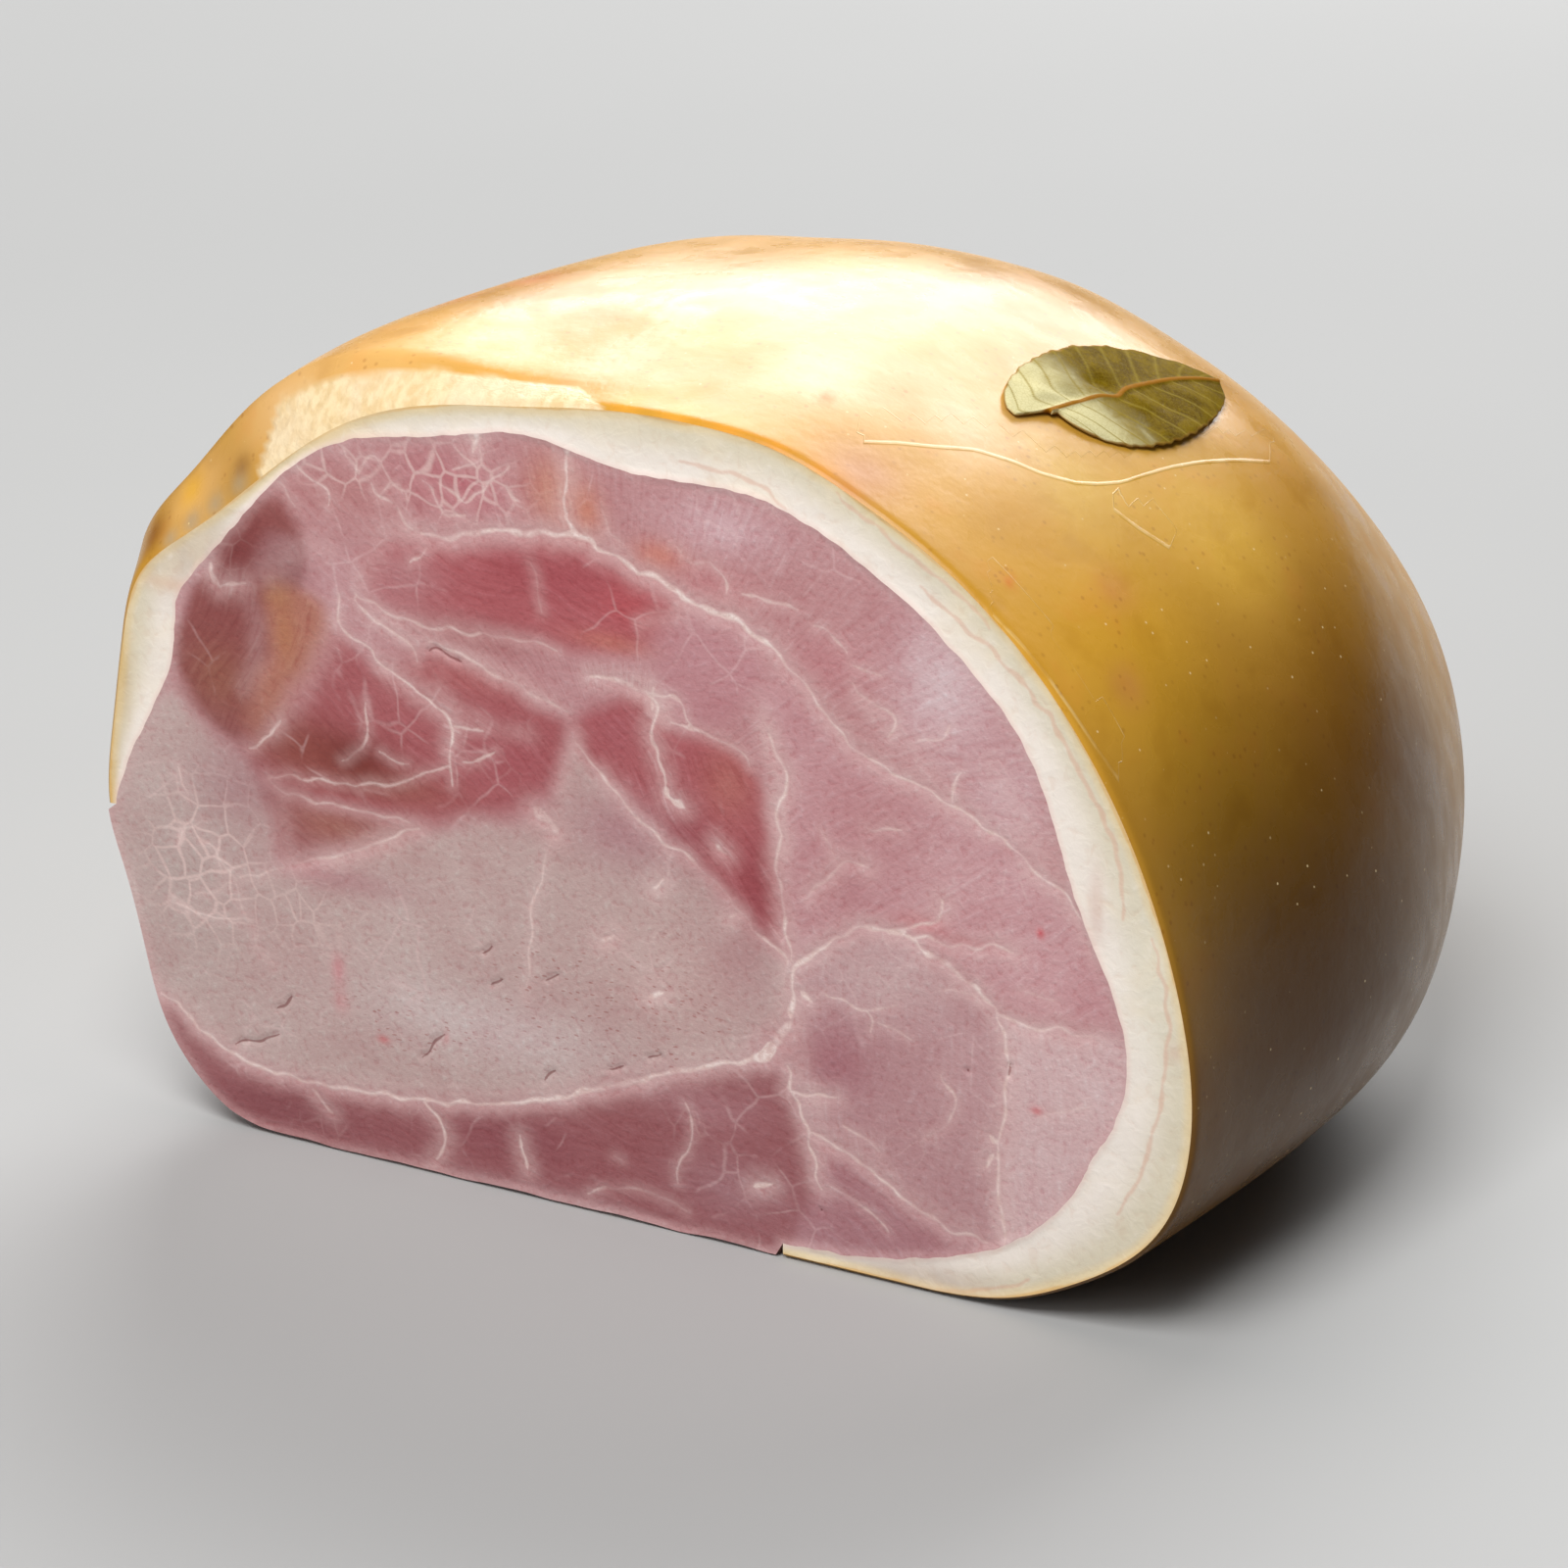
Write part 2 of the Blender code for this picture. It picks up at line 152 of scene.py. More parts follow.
def smooth_curve(knots, values, places):
    """A natural cubic spline through the values at the knots, read at the places."""
    knots = np.asarray(knots, float)
    values = np.asarray(values, float)
    count = len(knots)
    step = np.diff(knots)
    system = np.eye(count)
    right = np.zeros_like(values)
    for i in range(1, count - 1):
        system[i, i - 1 : i + 2] = step[i - 1], 2.0 * (step[i - 1] + step[i]), step[i]
        rise = (values[i + 1] - values[i]) / step[i]
        rise_before = (values[i] - values[i - 1]) / step[i - 1]
        right[i] = 6.0 * (rise - rise_before)
    bend = np.linalg.solve(system, right)
    cell = np.clip(np.searchsorted(knots, places, side="right") - 1, 0, count - 2)
    width = step[cell][:, None]
    along = (np.asarray(places) - knots[cell])[:, None]
    left = width - along
    cubic = (bend[cell] * left**3 + bend[cell + 1] * along**3) / (6.0 * width)
    start = values[cell] / width - bend[cell] * width / 6.0
    end = values[cell + 1] / width - bend[cell + 1] * width / 6.0
    return cubic + start * left + end * along


# The loft of the solids, made finer

def rim_curve():
    """The closed edge of the cut: its knots, its rows and how many rows overlap at both ends."""
    rows = np.array(list(COVERED_EDGE) + [(x, z, 0.0) for x, z in BARE_EDGE])
    wrap = len(BARE_EDGE)
    closed = np.vstack([rows[-wrap:], rows, rows[:wrap]])
    chord = np.hypot(np.diff(closed[:, 0]), np.diff(closed[:, 1]))
    return np.r_[0.0, np.cumsum(np.sqrt(chord))], closed, wrap


def rim_columns(depth_share):
    """Columns of one ring: x, height and fat round the edge, the covered ones first."""
    knots, closed, wrap = rim_curve()
    first = knots[wrap]
    last = knots[wrap + len(COVERED_EDGE) - 1]
    bare = knots[wrap + len(COVERED_EDGE) + len(BARE_EDGE)] - last
    slide = smooth_step(depth_share) ** 2
    start = first - slide * BARE_CLOSING_BELOW * bare
    end = last + slide * BARE_CLOSING_LEFT * bare
    column = np.arange(COVERED_COLUMNS + 1)
    near_start = np.exp(-column / SLIDE_COLUMNS)
    near_end = np.exp(-(COVERED_COLUMNS - column) / SLIDE_COLUMNS)
    even = np.linspace(first, last, COVERED_COLUMNS + 1)
    covered = even + near_start * (start - first) + near_end * (end - last)
    rest = np.linspace(end, start + (last + bare - first), BARE_COLUMNS + 1)[1:-1]
    edge = smooth_curve(knots, closed, np.r_[covered, rest])
    edge[:, 1] = np.maximum(edge[:, 1], 0.0)
    edge[: COVERED_COLUMNS + 1, 2] = np.maximum(edge[: COVERED_COLUMNS + 1, 2], THIN_FAT)
    edge[COVERED_COLUMNS + 1 :, 2] = 0.0
    return edge


def reaches(rim, angles):
    """How far the sections at the angles go to the left, right, top and bottom."""
    first = (0.0, -rim[:, 0].min(), rim[:, 0].max(), rim[:, 1].max(), 0.0)
    last = (90.0, -END_POINT[0], END_POINT[0], END_POINT[1], END_POINT[1])
    rows = np.array([first, *STATIONS, last])
    return smooth_curve(rows[:, 0], rows[:, 1:], angles)


def plain_rings(edges, angles):
    """The loft without its trimmed slope: an array of points by ring and column."""
    rim = edges[0]
    left_end, right_end, top_end = -rim[:, 0].min(), rim[:, 0].max(), rim[:, 1].max()
    rings = []
    for edge, angle, (left, right, top, bottom) in zip(edges, angles, reaches(rim, angles)):
        share = math.sin(math.radians(angle))
        middle_x = END_POINT[0] * share**2
        middle_z = MIDDLE_HEIGHT + (END_POINT[1] - MIDDLE_HEIGHT) * share**2
        to_right = 0.5 * (1.0 + np.tanh(edge[:, 0] / SIDE_BLEND))
        to_top = 0.5 * (1.0 + np.tanh((edge[:, 1] - MIDDLE_HEIGHT) / HEIGHT_BLEND))
        wide_right = (right - middle_x) / right_end
        wide_left = (left + middle_x) / left_end
        above = (top - middle_z) / (top_end - MIDDLE_HEIGHT)
        below = (middle_z - bottom) / MIDDLE_HEIGHT
        wide = to_right * wide_right + (1.0 - to_right) * wide_left
        high = to_top * above + (1.0 - to_top) * below
        x = middle_x + edge[:, 0] * wide
        z = middle_z + (edge[:, 1] - MIDDLE_HEIGHT) * high
        rings.append(np.c_[x, np.full(len(x), share * LENGTH), np.maximum(z, 0.0)])
    return np.array(rings)


def outward(rings):
    """Unit normals of the rings, which turn into the plane of the cut close to it."""
    around = np.roll(rings, -1, axis=1) - np.roll(rings, 1, axis=1)
    along = np.gradient(rings, axis=0)
    normal = np.cross(along, around)
    normal /= np.linalg.norm(normal, axis=2, keepdims=True)
    normal[:, :, 1] *= smooth_step(rings[:, :, 1] / (1.5 * TRIM_DEPTH))
    return normal / np.linalg.norm(normal, axis=2, keepdims=True)


def fat_depth(edges, rings, bare_end):
    """Thickness of the fat by ring and column, zero where the lean is bare."""
    column = np.arange(edges.shape[1])
    covered = column <= COVERED_COLUMNS
    from_side = np.minimum(column, COVERED_COLUMNS - column)
    ramp = np.where(covered, smooth_step(from_side / FAT_EDGE_COLUMNS), 0.0)
    deep = THIN_FAT + (DEEP_FAT - THIN_FAT) * ramp
    bare_end_depth = rings[bare_end, 0, 1]
    fat = np.zeros(rings.shape[:2])
    for i, depth in enumerate(rings[:, 0, 1]):
        change = smooth_step(depth / FAT_CHANGE_DEPTH)
        row = edges[i, :, 2] * (1.0 - change) + deep * change
        if i >= bare_end:
            closing = smooth_step((depth - bare_end_depth) / (LENGTH - bare_end_depth))
            fat[i] = np.maximum(row + (DEEP_FAT - row) * closing, THIN_FAT)
        else:
            fat[i] = np.where(covered, row, 0.0)
    return fat


def directions(edges):
    """Direction of each column from the middle of the section, in degrees: 0 to the right, 90 up."""
    return np.degrees(np.arctan2(edges[..., 1] - MIDDLE_HEIGHT, edges[..., 0]))


def trimmed(edges, rings):
    """How far the outer surface leans out behind the trimmed edge."""
    stretch = bell(directions(edges) - TRIM_DIRECTION, TRIM_SPREAD)
    width = rings[:, :, 0].max(axis=1) - rings[:, :, 0].min(axis=1)
    depth = rings[:, 0, 1]
    fade = 1.0 - TRIM_FADE * smooth_step(depth / LENGTH)
    amount = TRIM_REACH * np.minimum(depth / TRIM_DEPTH, 1.0) * fade * width / width[0]
    return (amount[:, None] * stretch)[:, :, None] * np.array(TRIM_LEAN)


def lumps(rings):
    """How far soft lumps raise the rind, in metres."""
    wave = sum(np.sin(rings @ np.array(direction)) for direction in LUMP_WAVES)
    fade = smooth_step(rings[:, :, 1] / LUMP_FULL_DEPTH)
    rise = (rings[:, :, 2] - LUMP_START_HEIGHT) / (LUMP_FULL_HEIGHT - LUMP_START_HEIGHT)
    return LUMP * wave * fade * smooth_step(rise)


class Loft:
    """The rings of one step size: the plain surface, the lean under the fat and the outside of the rind."""

    def __init__(self, step):
        near = np.degrees(np.arcsin(np.array(NEAR_CUT_DEPTHS) / LENGTH))
        count = int(round((BARE_END_STATION - near[-1]) / step))
        middle = np.linspace(near[-1], BARE_END_STATION, count + 1)[1:]
        count = int(round((LAST_STATION - BARE_END_STATION) / step))
        far = np.linspace(BARE_END_STATION, LAST_STATION, count + 1)[1:]
        self.angles = np.r_[near, middle, far]
        self.bare_end = len(near) + len(middle) - 1
        shares = np.minimum(self.angles / BARE_END_STATION, 1.0)
        self.edges = np.array([rim_columns(share) for share in shares])
        self.rings = plain_rings(self.edges, self.angles)
        self.normals = outward(self.rings)
        self.fat = fat_depth(self.edges, self.rings, self.bare_end)
        self.lean = self.rings - self.normals * self.fat[:, :, None]
        leaning = trimmed(self.edges, self.rings)
        self.outer = self.rings + leaning + self.normals * lumps(self.rings)[:, :, None]
        self.end = np.array([END_POINT[0], LENGTH, END_POINT[1]])
        self.add_relief()

    def add_relief(self):
        """Adds the fine forms near the cut, and keeps the lean out of sight under the fat."""
        depth, height = self.rings[:, :, 1], self.rings[:, :, 2]
        shape, flat = depth.shape, self.rings.reshape(-1, 3)
        has_fat = self.fat > 0.0
        rounded = 1.0 - np.sqrt(1.0 - np.clip(1.0 - depth / RIM_ROUNDING_DEPTH, 0.0, 1.0) ** 2)
        self.outer -= self.normals * (RIM_ROUNDING * rounded * has_fat)[:, :, None]
        foot = (1.0 - smooth_step(depth / FOOT_DEPTH)) * (1.0 - smooth_step(height / FOOT_DEPTH))
        ragged = 0.6 + 0.5 * soft_waves(flat, 0.012, 7, 61).reshape(shape)
        self.lean[:, :, 2] += RAGGED_FOOT * ~has_fat * foot * ragged
        uneven = soft_waves(flat, 0.006, 8, 62) + soft_waves(flat, 0.016, 6, 63)
        uneven = uneven.reshape(shape) * np.exp(-depth / FOOT_DEPTH) * has_fat
        hidden = HIDDEN_GAP * has_fat * smooth_step(depth / FOOT_DEPTH)
        self.lean += self.normals * (UNEVEN_FAT * uneven - hidden)[:, :, None]
        for surface in (self.lean, self.outer):
            surface[:, :, 2] = np.maximum(surface[:, :, 2], 0.0)


def centring(loft):
    """The move that puts the middle of the box over the origin, as in the solids."""
    x = (loft.outer[:, :, 0].min() + loft.outer[:, :, 0].max()) / 2.0
    return np.array([-x, -LENGTH / 2.0, 0.0])


# Places on the cut face

def camera_axes():
    """Directions from the target back to the camera, to its right and up."""
    a, e = math.radians(CAMERA_AZIMUTH), math.radians(CAMERA_ELEVATION)
    back = np.array([math.sin(a) * math.cos(e), -math.cos(a) * math.cos(e), math.sin(e)])
    right = np.array([math.cos(a), math.sin(a), 0.0])
    return back, right, np.cross(back, right)


def photo_view():
    """The camera's place, its axes, and the distance of its picture in pixels of the photograph."""
    back, right, up = camera_axes()
    eye = np.array(CAMERA_TARGET) + back * CAMERA_DISTANCE
    return eye, back, right, up, PHOTO_PIXELS / 2.0 / math.tan(math.radians(CAMERA_ANGLE) / 2.0)


def sight_lines(pixels):
    """The camera's place, and the directions in which it sees the pixels of the photograph."""
    eye, back, right, up, reach = photo_view()
    away = (np.asarray(pixels, float) - PHOTO_PIXELS / 2.0) / reach
    return eye, away[:, :1] * right - away[:, 1:] * up - back


def on_cut(pixels):
    """Places on the cut, (x, height) in metres from the origin of the frame, of pixels in the photograph."""
    eye, rays = sight_lines(pixels)
    hit = eye + rays * ((-LENGTH / 2.0 - eye[1]) / rays[:, 1])[:, None]
    return hit[:, [0, 2]]


def smooth_line(points, spacing=1.5 * MM, closed=False):
    """A smooth curve through the points, as points about that far apart."""
    points = np.asarray(points, float)
    if closed:
        points = np.vstack([points[-3:], points, points[:3]])
    chord = np.linalg.norm(np.diff(points, axis=0), axis=1)
    knots = np.r_[0.0, np.cumsum(np.sqrt(chord))]
    first, last = (knots[3], knots[-3]) if closed else (knots[0], knots[-1])
    count = max(int(chord.sum() / spacing), 2)
    return smooth_curve(knots, points, np.linspace(first, last, count + 1))


def line_distance(places, line):
    """Distance of each place from the line, and how far along the line it is nearest, from 0 to 1."""
    best = np.full(len(places), np.inf)
    share = np.zeros(len(places))
    length = np.r_[0.0, np.cumsum(np.linalg.norm(np.diff(line, axis=0), axis=1))]
    for i in range(len(line) - 1):
        step = line[i + 1] - line[i]
        along = np.clip((places - line[i]) @ step / max(step @ step, 1e-12), 0.0, 1.0)
        gap = np.linalg.norm(places - line[i] - along[:, None] * step, axis=1)
        closer = gap < best
        best = np.where(closer, gap, best)
        share = np.where(closer, length[i] + along * (length[i + 1] - length[i]), share)
    return best, share / length[-1]


def inside(places, outline):
    """True for the places inside the closed outline."""
    found = np.zeros(len(places), bool)
    for (x0, z0), (x1, z1) in zip(outline, np.roll(outline, -1, axis=0)):
        crosses = (z0 > places[:, 1]) != (z1 > places[:, 1])
        slope = (x1 - x0) / (z1 - z0 if z1 != z0 else 1e-12)
        found ^= crosses & (places[:, 0] < x0 + (places[:, 1] - z0) * slope)
    return found


def near(places, line, margin):
    """Which of the places are in the line's box, grown by the margin."""
    low, high = line.min(axis=0) - margin, line.max(axis=0) + margin
    return np.flatnonzero(((places > low) & (places < high)).all(axis=1))


def linear(colour):
    """A colour of the screen, 0 to 255, as light."""
    share = np.asarray(colour, float) / 255.0
    return np.where(share <= 0.04045, share / 12.92, ((share + 0.055) / 1.055) ** 2.4)


# The muscles of the cut face, from the broad ones to the small ones: screen colour, softness of the edge
# in millimetres, and outline in photo pixels.
MUSCLES = (
    ((186, 140, 142), 3.0, ((100, 700), (250, 480), (480, 430), (720, 480), (960, 630), (1120, 880),
        (1170, 1080), (1090, 1260), (960, 1300), (760, 1280), (500, 1215), (240, 1150), (130, 950))),
    ((184, 136, 137), 2.5, ((262, 500), (350, 440), (485, 435), (580, 440), (700, 490), (790, 510),
        (870, 568), (950, 635), (1025, 720), (1080, 800), (1092, 880), (1120, 950), (1094, 924),
        (1040, 874), (967, 819), (887, 775), (826, 706), (788, 664), (734, 627), (677, 595), (605, 556),
        (520, 545), (430, 545), (380, 560), (330, 560), (290, 540))),
    ((188, 162, 158), 2.0, ((118, 770), (150, 720), (178, 705), (205, 742), (240, 775), (268, 800),
        (290, 884), (345, 877), (400, 860), (425, 848), (500, 838), (548, 835), (566, 800), (586, 765),
        (636, 824), (700, 880), (768, 952), (803, 992), (803, 1040), (770, 1060), (755, 1080),
        (643, 1100), (536, 1122), (452, 1122), (337, 1107), (234, 1072), (169, 1015), (128, 920),
        (108, 830))),
    ((171, 97, 101), 2.2, ((368, 575), (400, 553), (440, 553), (520, 552), (600, 562), (650, 590),
        (688, 612), (694, 632), (672, 655), (640, 664), (600, 662), (540, 650), (480, 634), (430, 622),
        (390, 608))),
    ((163, 95, 98), 1.8, ((253, 765), (280, 726), (314, 671), (337, 642), (352, 648), (383, 680),
        (421, 672), (467, 676), (513, 700), (552, 721), (574, 734), (578, 750), (572, 778), (556, 808),
        (536, 826), (467, 836), (425, 842), (399, 835), (330, 820), (272, 799), (255, 780))),
    ((156, 102, 101), 1.5, ((270, 802), (330, 822), (399, 837), (420, 845), (376, 863), (314, 876),
        (293, 879), (280, 850))),
    ((141, 83, 81), 1.6, ((243, 522), (285, 505), (304, 540), (304, 592), (290, 640), (274, 690),
        (260, 735), (240, 757), (214, 738), (188, 700), (176, 672), (190, 615), (215, 568))),
    ((155, 108, 109), 1.5, ((262, 560), (278, 545), (302, 552), (312, 575), (302, 598), (272, 600),
        (260, 584))),
    ((174, 118, 103), 2.0, ((272, 604), (310, 602), (330, 636), (312, 684), (287, 722), (264, 752),
        (252, 738), (266, 690), (276, 650))),
    ((184, 133, 137), 1.6, ((668, 660), (680, 637), (710, 626), (745, 628), (768, 648), (774, 680),
        (762, 714), (738, 738), (705, 742), (682, 726), (668, 700))),
    ((166, 94, 98), 1.6, ((584, 740), (625, 716), (655, 712), (680, 738), (726, 754), (764, 784),
        (784, 832), (793, 880), (798, 930), (806, 980), (753, 926), (700, 872), (636, 816), (600, 778))),
    ((192, 146, 149), 2.0, ((772, 704), (800, 694), (860, 762), (960, 822), (1050, 892), (1106, 950),
        (1138, 1030), (1113, 1056), (1060, 1048), (1017, 1033), (975, 991), (914, 951), (868, 949),
        (814, 982), (803, 920), (795, 832), (804, 790), (786, 748))),
    ((182, 142, 144), 1.8, ((816, 988), (868, 953), (914, 955), (975, 995), (1015, 1034), (1025, 1087),
        (1019, 1168), (1016, 1209), (1018, 1258), (967, 1252), (894, 1199), (826, 1154), (806, 1111),
        (806, 1042))),
    ((205, 174, 174), 1.6, ((1022, 1040), (1067, 1054), (1113, 1062), (1148, 1070), (1150, 1110),
        (1133, 1162), (1089, 1225), (1069, 1280), (1026, 1282), (1020, 1209), (1029, 1087))),
    ((152, 97, 100), 1.6, ((160, 1018), (234, 1080), (337, 1114), (452, 1130), (575, 1125), (700, 1100),
        (790, 1092), (810, 1123), (831, 1201), (822, 1262), (750, 1275), (640, 1240), (500, 1210),
        (400, 1190), (300, 1172), (240, 1136), (180, 1080))),
    ((170, 123, 128), 1.6, ((835, 1203), (861, 1178), (935, 1235), (1008, 1270), (960, 1290),
        (900, 1296), (840, 1284), (815, 1266))),
)
# Soft patches on top of them: screen colour, strength, photo pixel, and reach in pixels across and down.
PATCHES = (
    ((176, 100, 108), 0.85, (462, 498), (52, 30)), ((196, 130, 104), 0.65, (562, 500), (26, 36)),
    ((196, 124, 100), 0.75, (598, 522), (18, 26)), ((200, 122, 100), 0.75, (672, 568), (26, 16)),
    ((205, 170, 174), 0.75, (738, 540), (66, 28)), ((206, 170, 174), 0.80, (960, 700), (58, 80)),
    ((206, 172, 176), 0.70, (1030, 820), (40, 60)), ((190, 128, 130), 0.60, (730, 600), (50, 22)),
    ((190, 132, 136), 0.55, (850, 680), (60, 34)), ((180, 126, 124), 0.60, (340, 500), (66, 30)),
    ((175, 82, 86), 0.75, (640, 617), (34, 24)), ((163, 84, 90), 0.70, (565, 590), (70, 24)),
    ((177, 126, 128), 0.80, (412, 588), (40, 26)), ((186, 112, 98), 0.60, (622, 656), (36, 10)),
    ((164, 90, 96), 0.60, (520, 772), (60, 44)), ((147, 86, 78), 0.80, (300, 765), (54, 30)),
    ((146, 90, 74), 0.55, (392, 800), (60, 18)), ((176, 108, 108), 0.60, (470, 690), (60, 18)),
    ((160, 104, 90), 0.60, (345, 846), (50, 16)), ((148, 96, 80), 0.70, (222, 692), (30, 34)),
    ((178, 130, 90), 0.60, (283, 604), (14, 18)), ((176, 120, 84), 0.55, (290, 648), (12, 30)),
    ((134, 74, 74), 0.70, (235, 560), (24, 34)), ((166, 124, 128), 0.65, (236, 800), (44, 44)),
    ((178, 160, 155), 0.60, (190, 900), (60, 110)), ((170, 122, 128), 0.75, (640, 850), (60, 38)),
    ((172, 128, 132), 0.50, (755, 985), (44, 60)), ((196, 164, 160), 0.60, (690, 1000), (70, 60)),
    ((170, 118, 124), 0.55, (340, 896), (70, 14)), ((150, 76, 82), 0.80, (772, 905), (18, 44)),
    ((150, 80, 86), 0.60, (700, 850), (28, 40)), ((178, 112, 104), 0.65, (742, 800), (26, 34)),
    ((168, 100, 106), 0.50, (625, 745), (26, 24)), ((200, 158, 160), 0.70, (985, 900), (60, 40)),
    ((206, 166, 168), 0.60, (1060, 985), (48, 44)), ((178, 126, 130), 0.55, (860, 900), (40, 30)),
    ((196, 166, 165), 0.90, (900, 1000), (66, 34)), ((166, 114, 120), 0.90, (852, 1085), (40, 46)),
    ((190, 152, 153), 0.60, (985, 1085), (30, 60)), ((190, 96, 104), 0.80, (940, 944), (22, 9)),
    ((190, 110, 116), 0.50, (985, 962), (26, 6)), ((138, 86, 90), 0.80, (290, 1130), (90, 18)),
    ((141, 84, 90), 0.70, (520, 1160), (70, 26)), ((168, 120, 124), 0.80, (720, 1130), (50, 22)),
    ((164, 122, 126), 0.70, (745, 1215), (56, 34)), ((170, 132, 134), 0.70, (560, 1222), (120, 12)),
    ((196, 128, 132), 0.80, (345, 990), (7, 16)), ((198, 132, 134), 0.60, (348, 1022), (8, 12)),
    ((198, 110, 112), 0.85, (391, 1061), (6, 4)), ((198, 110, 112), 0.80, (455, 1058), (3, 7)),
    ((196, 92, 98), 0.95, (1061, 953), (4, 5)), ((200, 104, 108), 0.90, (1058, 1134), (6, 4)),
    ((160, 88, 100), 0.55, (1030, 870), (20, 8)), ((200, 150, 150), 0.70, (141, 656), (12, 22)),
    ((112, 52, 46), 0.85, (360, 775), (46, 26)), ((160, 100, 100), 0.80, (480, 650), (70, 20)),
    ((182, 130, 132), 0.60, (900, 840), (54, 40)), ((140, 92, 93), 0.70, (290, 580), (22, 20)),
    ((124, 66, 66), 0.60, (240, 560), (20, 24)), ((208, 184, 186), 0.70, (960, 700), (40, 50)),
    ((206, 190, 188), 0.70, (500, 1050), (120, 34)), ((136, 76, 70), 0.60, (300, 760), (40, 30)),
)
# Seams of fat and connective tissue: half width in millimetres at both ends, and photo pixels.
SEAMS = (
    (0.5, 1.0, ((429, 545), (444, 548), (464, 548), (483, 545), (506, 540))),
    (1.0, 0.6, ((506, 540), (521, 543), (552, 545), (582, 546), (605, 556), (624, 568))),
    (0.5, 1.1, ((624, 568), (651, 583), (674, 594), (696, 608), (708, 618))),
    (1.1, 0.5, ((708, 618), (734, 627), (753, 635), (768, 648), (788, 664), (807, 683))),
    (0.3, 0.4, ((807, 683), (826, 706), (845, 733), (864, 756), (887, 775), (918, 792), (944, 805))),
    (0.3, 0.4, ((944, 805), (967, 819), (987, 832), (1006, 847), (1025, 859), (1040, 874))),
    (0.35, 0.25, ((1040, 874), (1055, 889), (1075, 905), (1094, 924), (1109, 947), (1120, 974))),
    (0.9, 0.9, ((211, 572), (217, 586), (222, 600))), (0.6, 0.4, ((222, 598), (235, 597), (249, 594))),
    (0.4, 0.9, ((601, 690), (624, 694), (640, 698), (647, 704))),
    (0.3, 0.5, ((391, 682), (418, 701), (437, 717), (448, 724))),
    (0.5, 0.5, ((448, 724), (456, 732), (460, 747), (458, 763))),
    (1.6, 1.2, ((544, 824), (553, 832), (563, 843))), (1.2, 1.0, ((563, 843), (569, 853))),
    (0.3, 0.5, ((299, 881), (320, 878), (345, 873), (376, 865), (399, 855), (425, 844))),
    (0.5, 0.5, ((661, 706), (669, 725), (665, 748), (673, 779), (678, 801))),
    (0.5, 1.6, ((678, 801), (683, 812), (690, 822))), (1.4, 0.5, ((688, 818), (698, 826))),
    (0.4, 0.5, ((784, 748), (791, 767), (801, 790), (799, 813), (791, 832), (795, 851))),
    (0.5, 0.4, ((795, 851), (791, 878), (799, 920), (801, 951), (807, 981))),
    (0.5, 0.9, ((826, 912), (836, 903), (853, 889))), (0.3, 0.2, ((853, 889), (868, 880), (883, 886))),
    (0.9, 0.4, ((807, 1006), (814, 985), (830, 975), (849, 962))),
    (0.4, 0.8, ((849, 962), (868, 951), (887, 947), (914, 953), (933, 962))),
    (0.8, 0.6, ((933, 962), (948, 975), (975, 993), (998, 1012), (1013, 1027))),
    (0.5, 0.4, ((1013, 1027), (1024, 1054), (1027, 1087), (1024, 1127), (1020, 1168))),
    (0.4, 0.5, ((1020, 1168), (1018, 1209), (1022, 1250), (1024, 1274))),
    (0.3, 0.5, ((906, 953), (933, 947), (956, 937), (960, 920))),
    (0.5, 0.3, ((925, 960), (944, 956), (967, 966), (1002, 966), (1036, 972))),
    (0.5, 0.4, ((1017, 1035), (1040, 1046), (1067, 1050), (1113, 1058))),
    (0.4, 0.7, ((165, 1012), (188, 1033), (211, 1056), (234, 1073), (265, 1089), (299, 1100))),
    (0.5, 0.6, ((299, 1100), (337, 1109), (376, 1115), (414, 1121), (452, 1125), (498, 1127))),
    (0.6, 1.0, ((498, 1127), (536, 1125), (575, 1119), (613, 1111), (643, 1104), (674, 1098))),
    (0.8, 0.7, ((674, 1098), (714, 1089), (755, 1084), (776, 1082))),
    (1.6, 2.2, ((768, 1082), (780, 1074), (790, 1064))),
    (2.0, 1.2, ((790, 1066), (800, 1050), (806, 1044))),
    (1.0, 0.6, ((806, 1040), (808, 1022), (806, 1006))), (0.8, 0.5, ((816, 1012), (828, 1024))),
    (0.6, 0.3, ((318, 1113), (330, 1125), (339, 1134))),
    (0.5, 0.4, ((433, 1125), (448, 1144), (452, 1163), (443, 1182))),
    (0.3, 0.5, ((529, 1159), (532, 1175), (536, 1194))),
    (0.4, 0.5, ((824, 1156), (861, 1176), (894, 1201), (935, 1233), (967, 1254), (1008, 1268))),
    (0.4, 0.4, ((802, 1087), (812, 1123), (824, 1156), (833, 1201), (837, 1213))),
    (0.5, 0.3, ((806, 1111), (829, 1119), (853, 1119))),
    (0.7, 0.7, ((1009, 1160), (1017, 1168))), (0.9, 0.6, ((1014, 1178), (1006, 1192))),
    (2.2, 0.5, ((484, 436), (484, 450), (483, 463))), (2.0, 0.8, ((581, 444), (582, 456), (580, 466))),
    (0.5, 0.3, ((580, 466), (576, 490), (575, 508), (578, 532))),
    (0.4, 0.9, ((575, 528), (582, 538), (590, 548))), (0.8, 0.5, ((770, 1212), (786, 1208))),
    (0.6, 0.3, ((745, 936), (752, 932))), (0.8, 0.5, ((664, 906), (678, 900))),
    (0.8, 0.5, ((732, 864), (740, 872))), (0.9, 0.6, ((662, 1016), (676, 1014))),
    (0.6, 0.4, ((612, 960), (626, 956))), (0.3, 0.4, ((341, 1108), (352, 1112))),
)
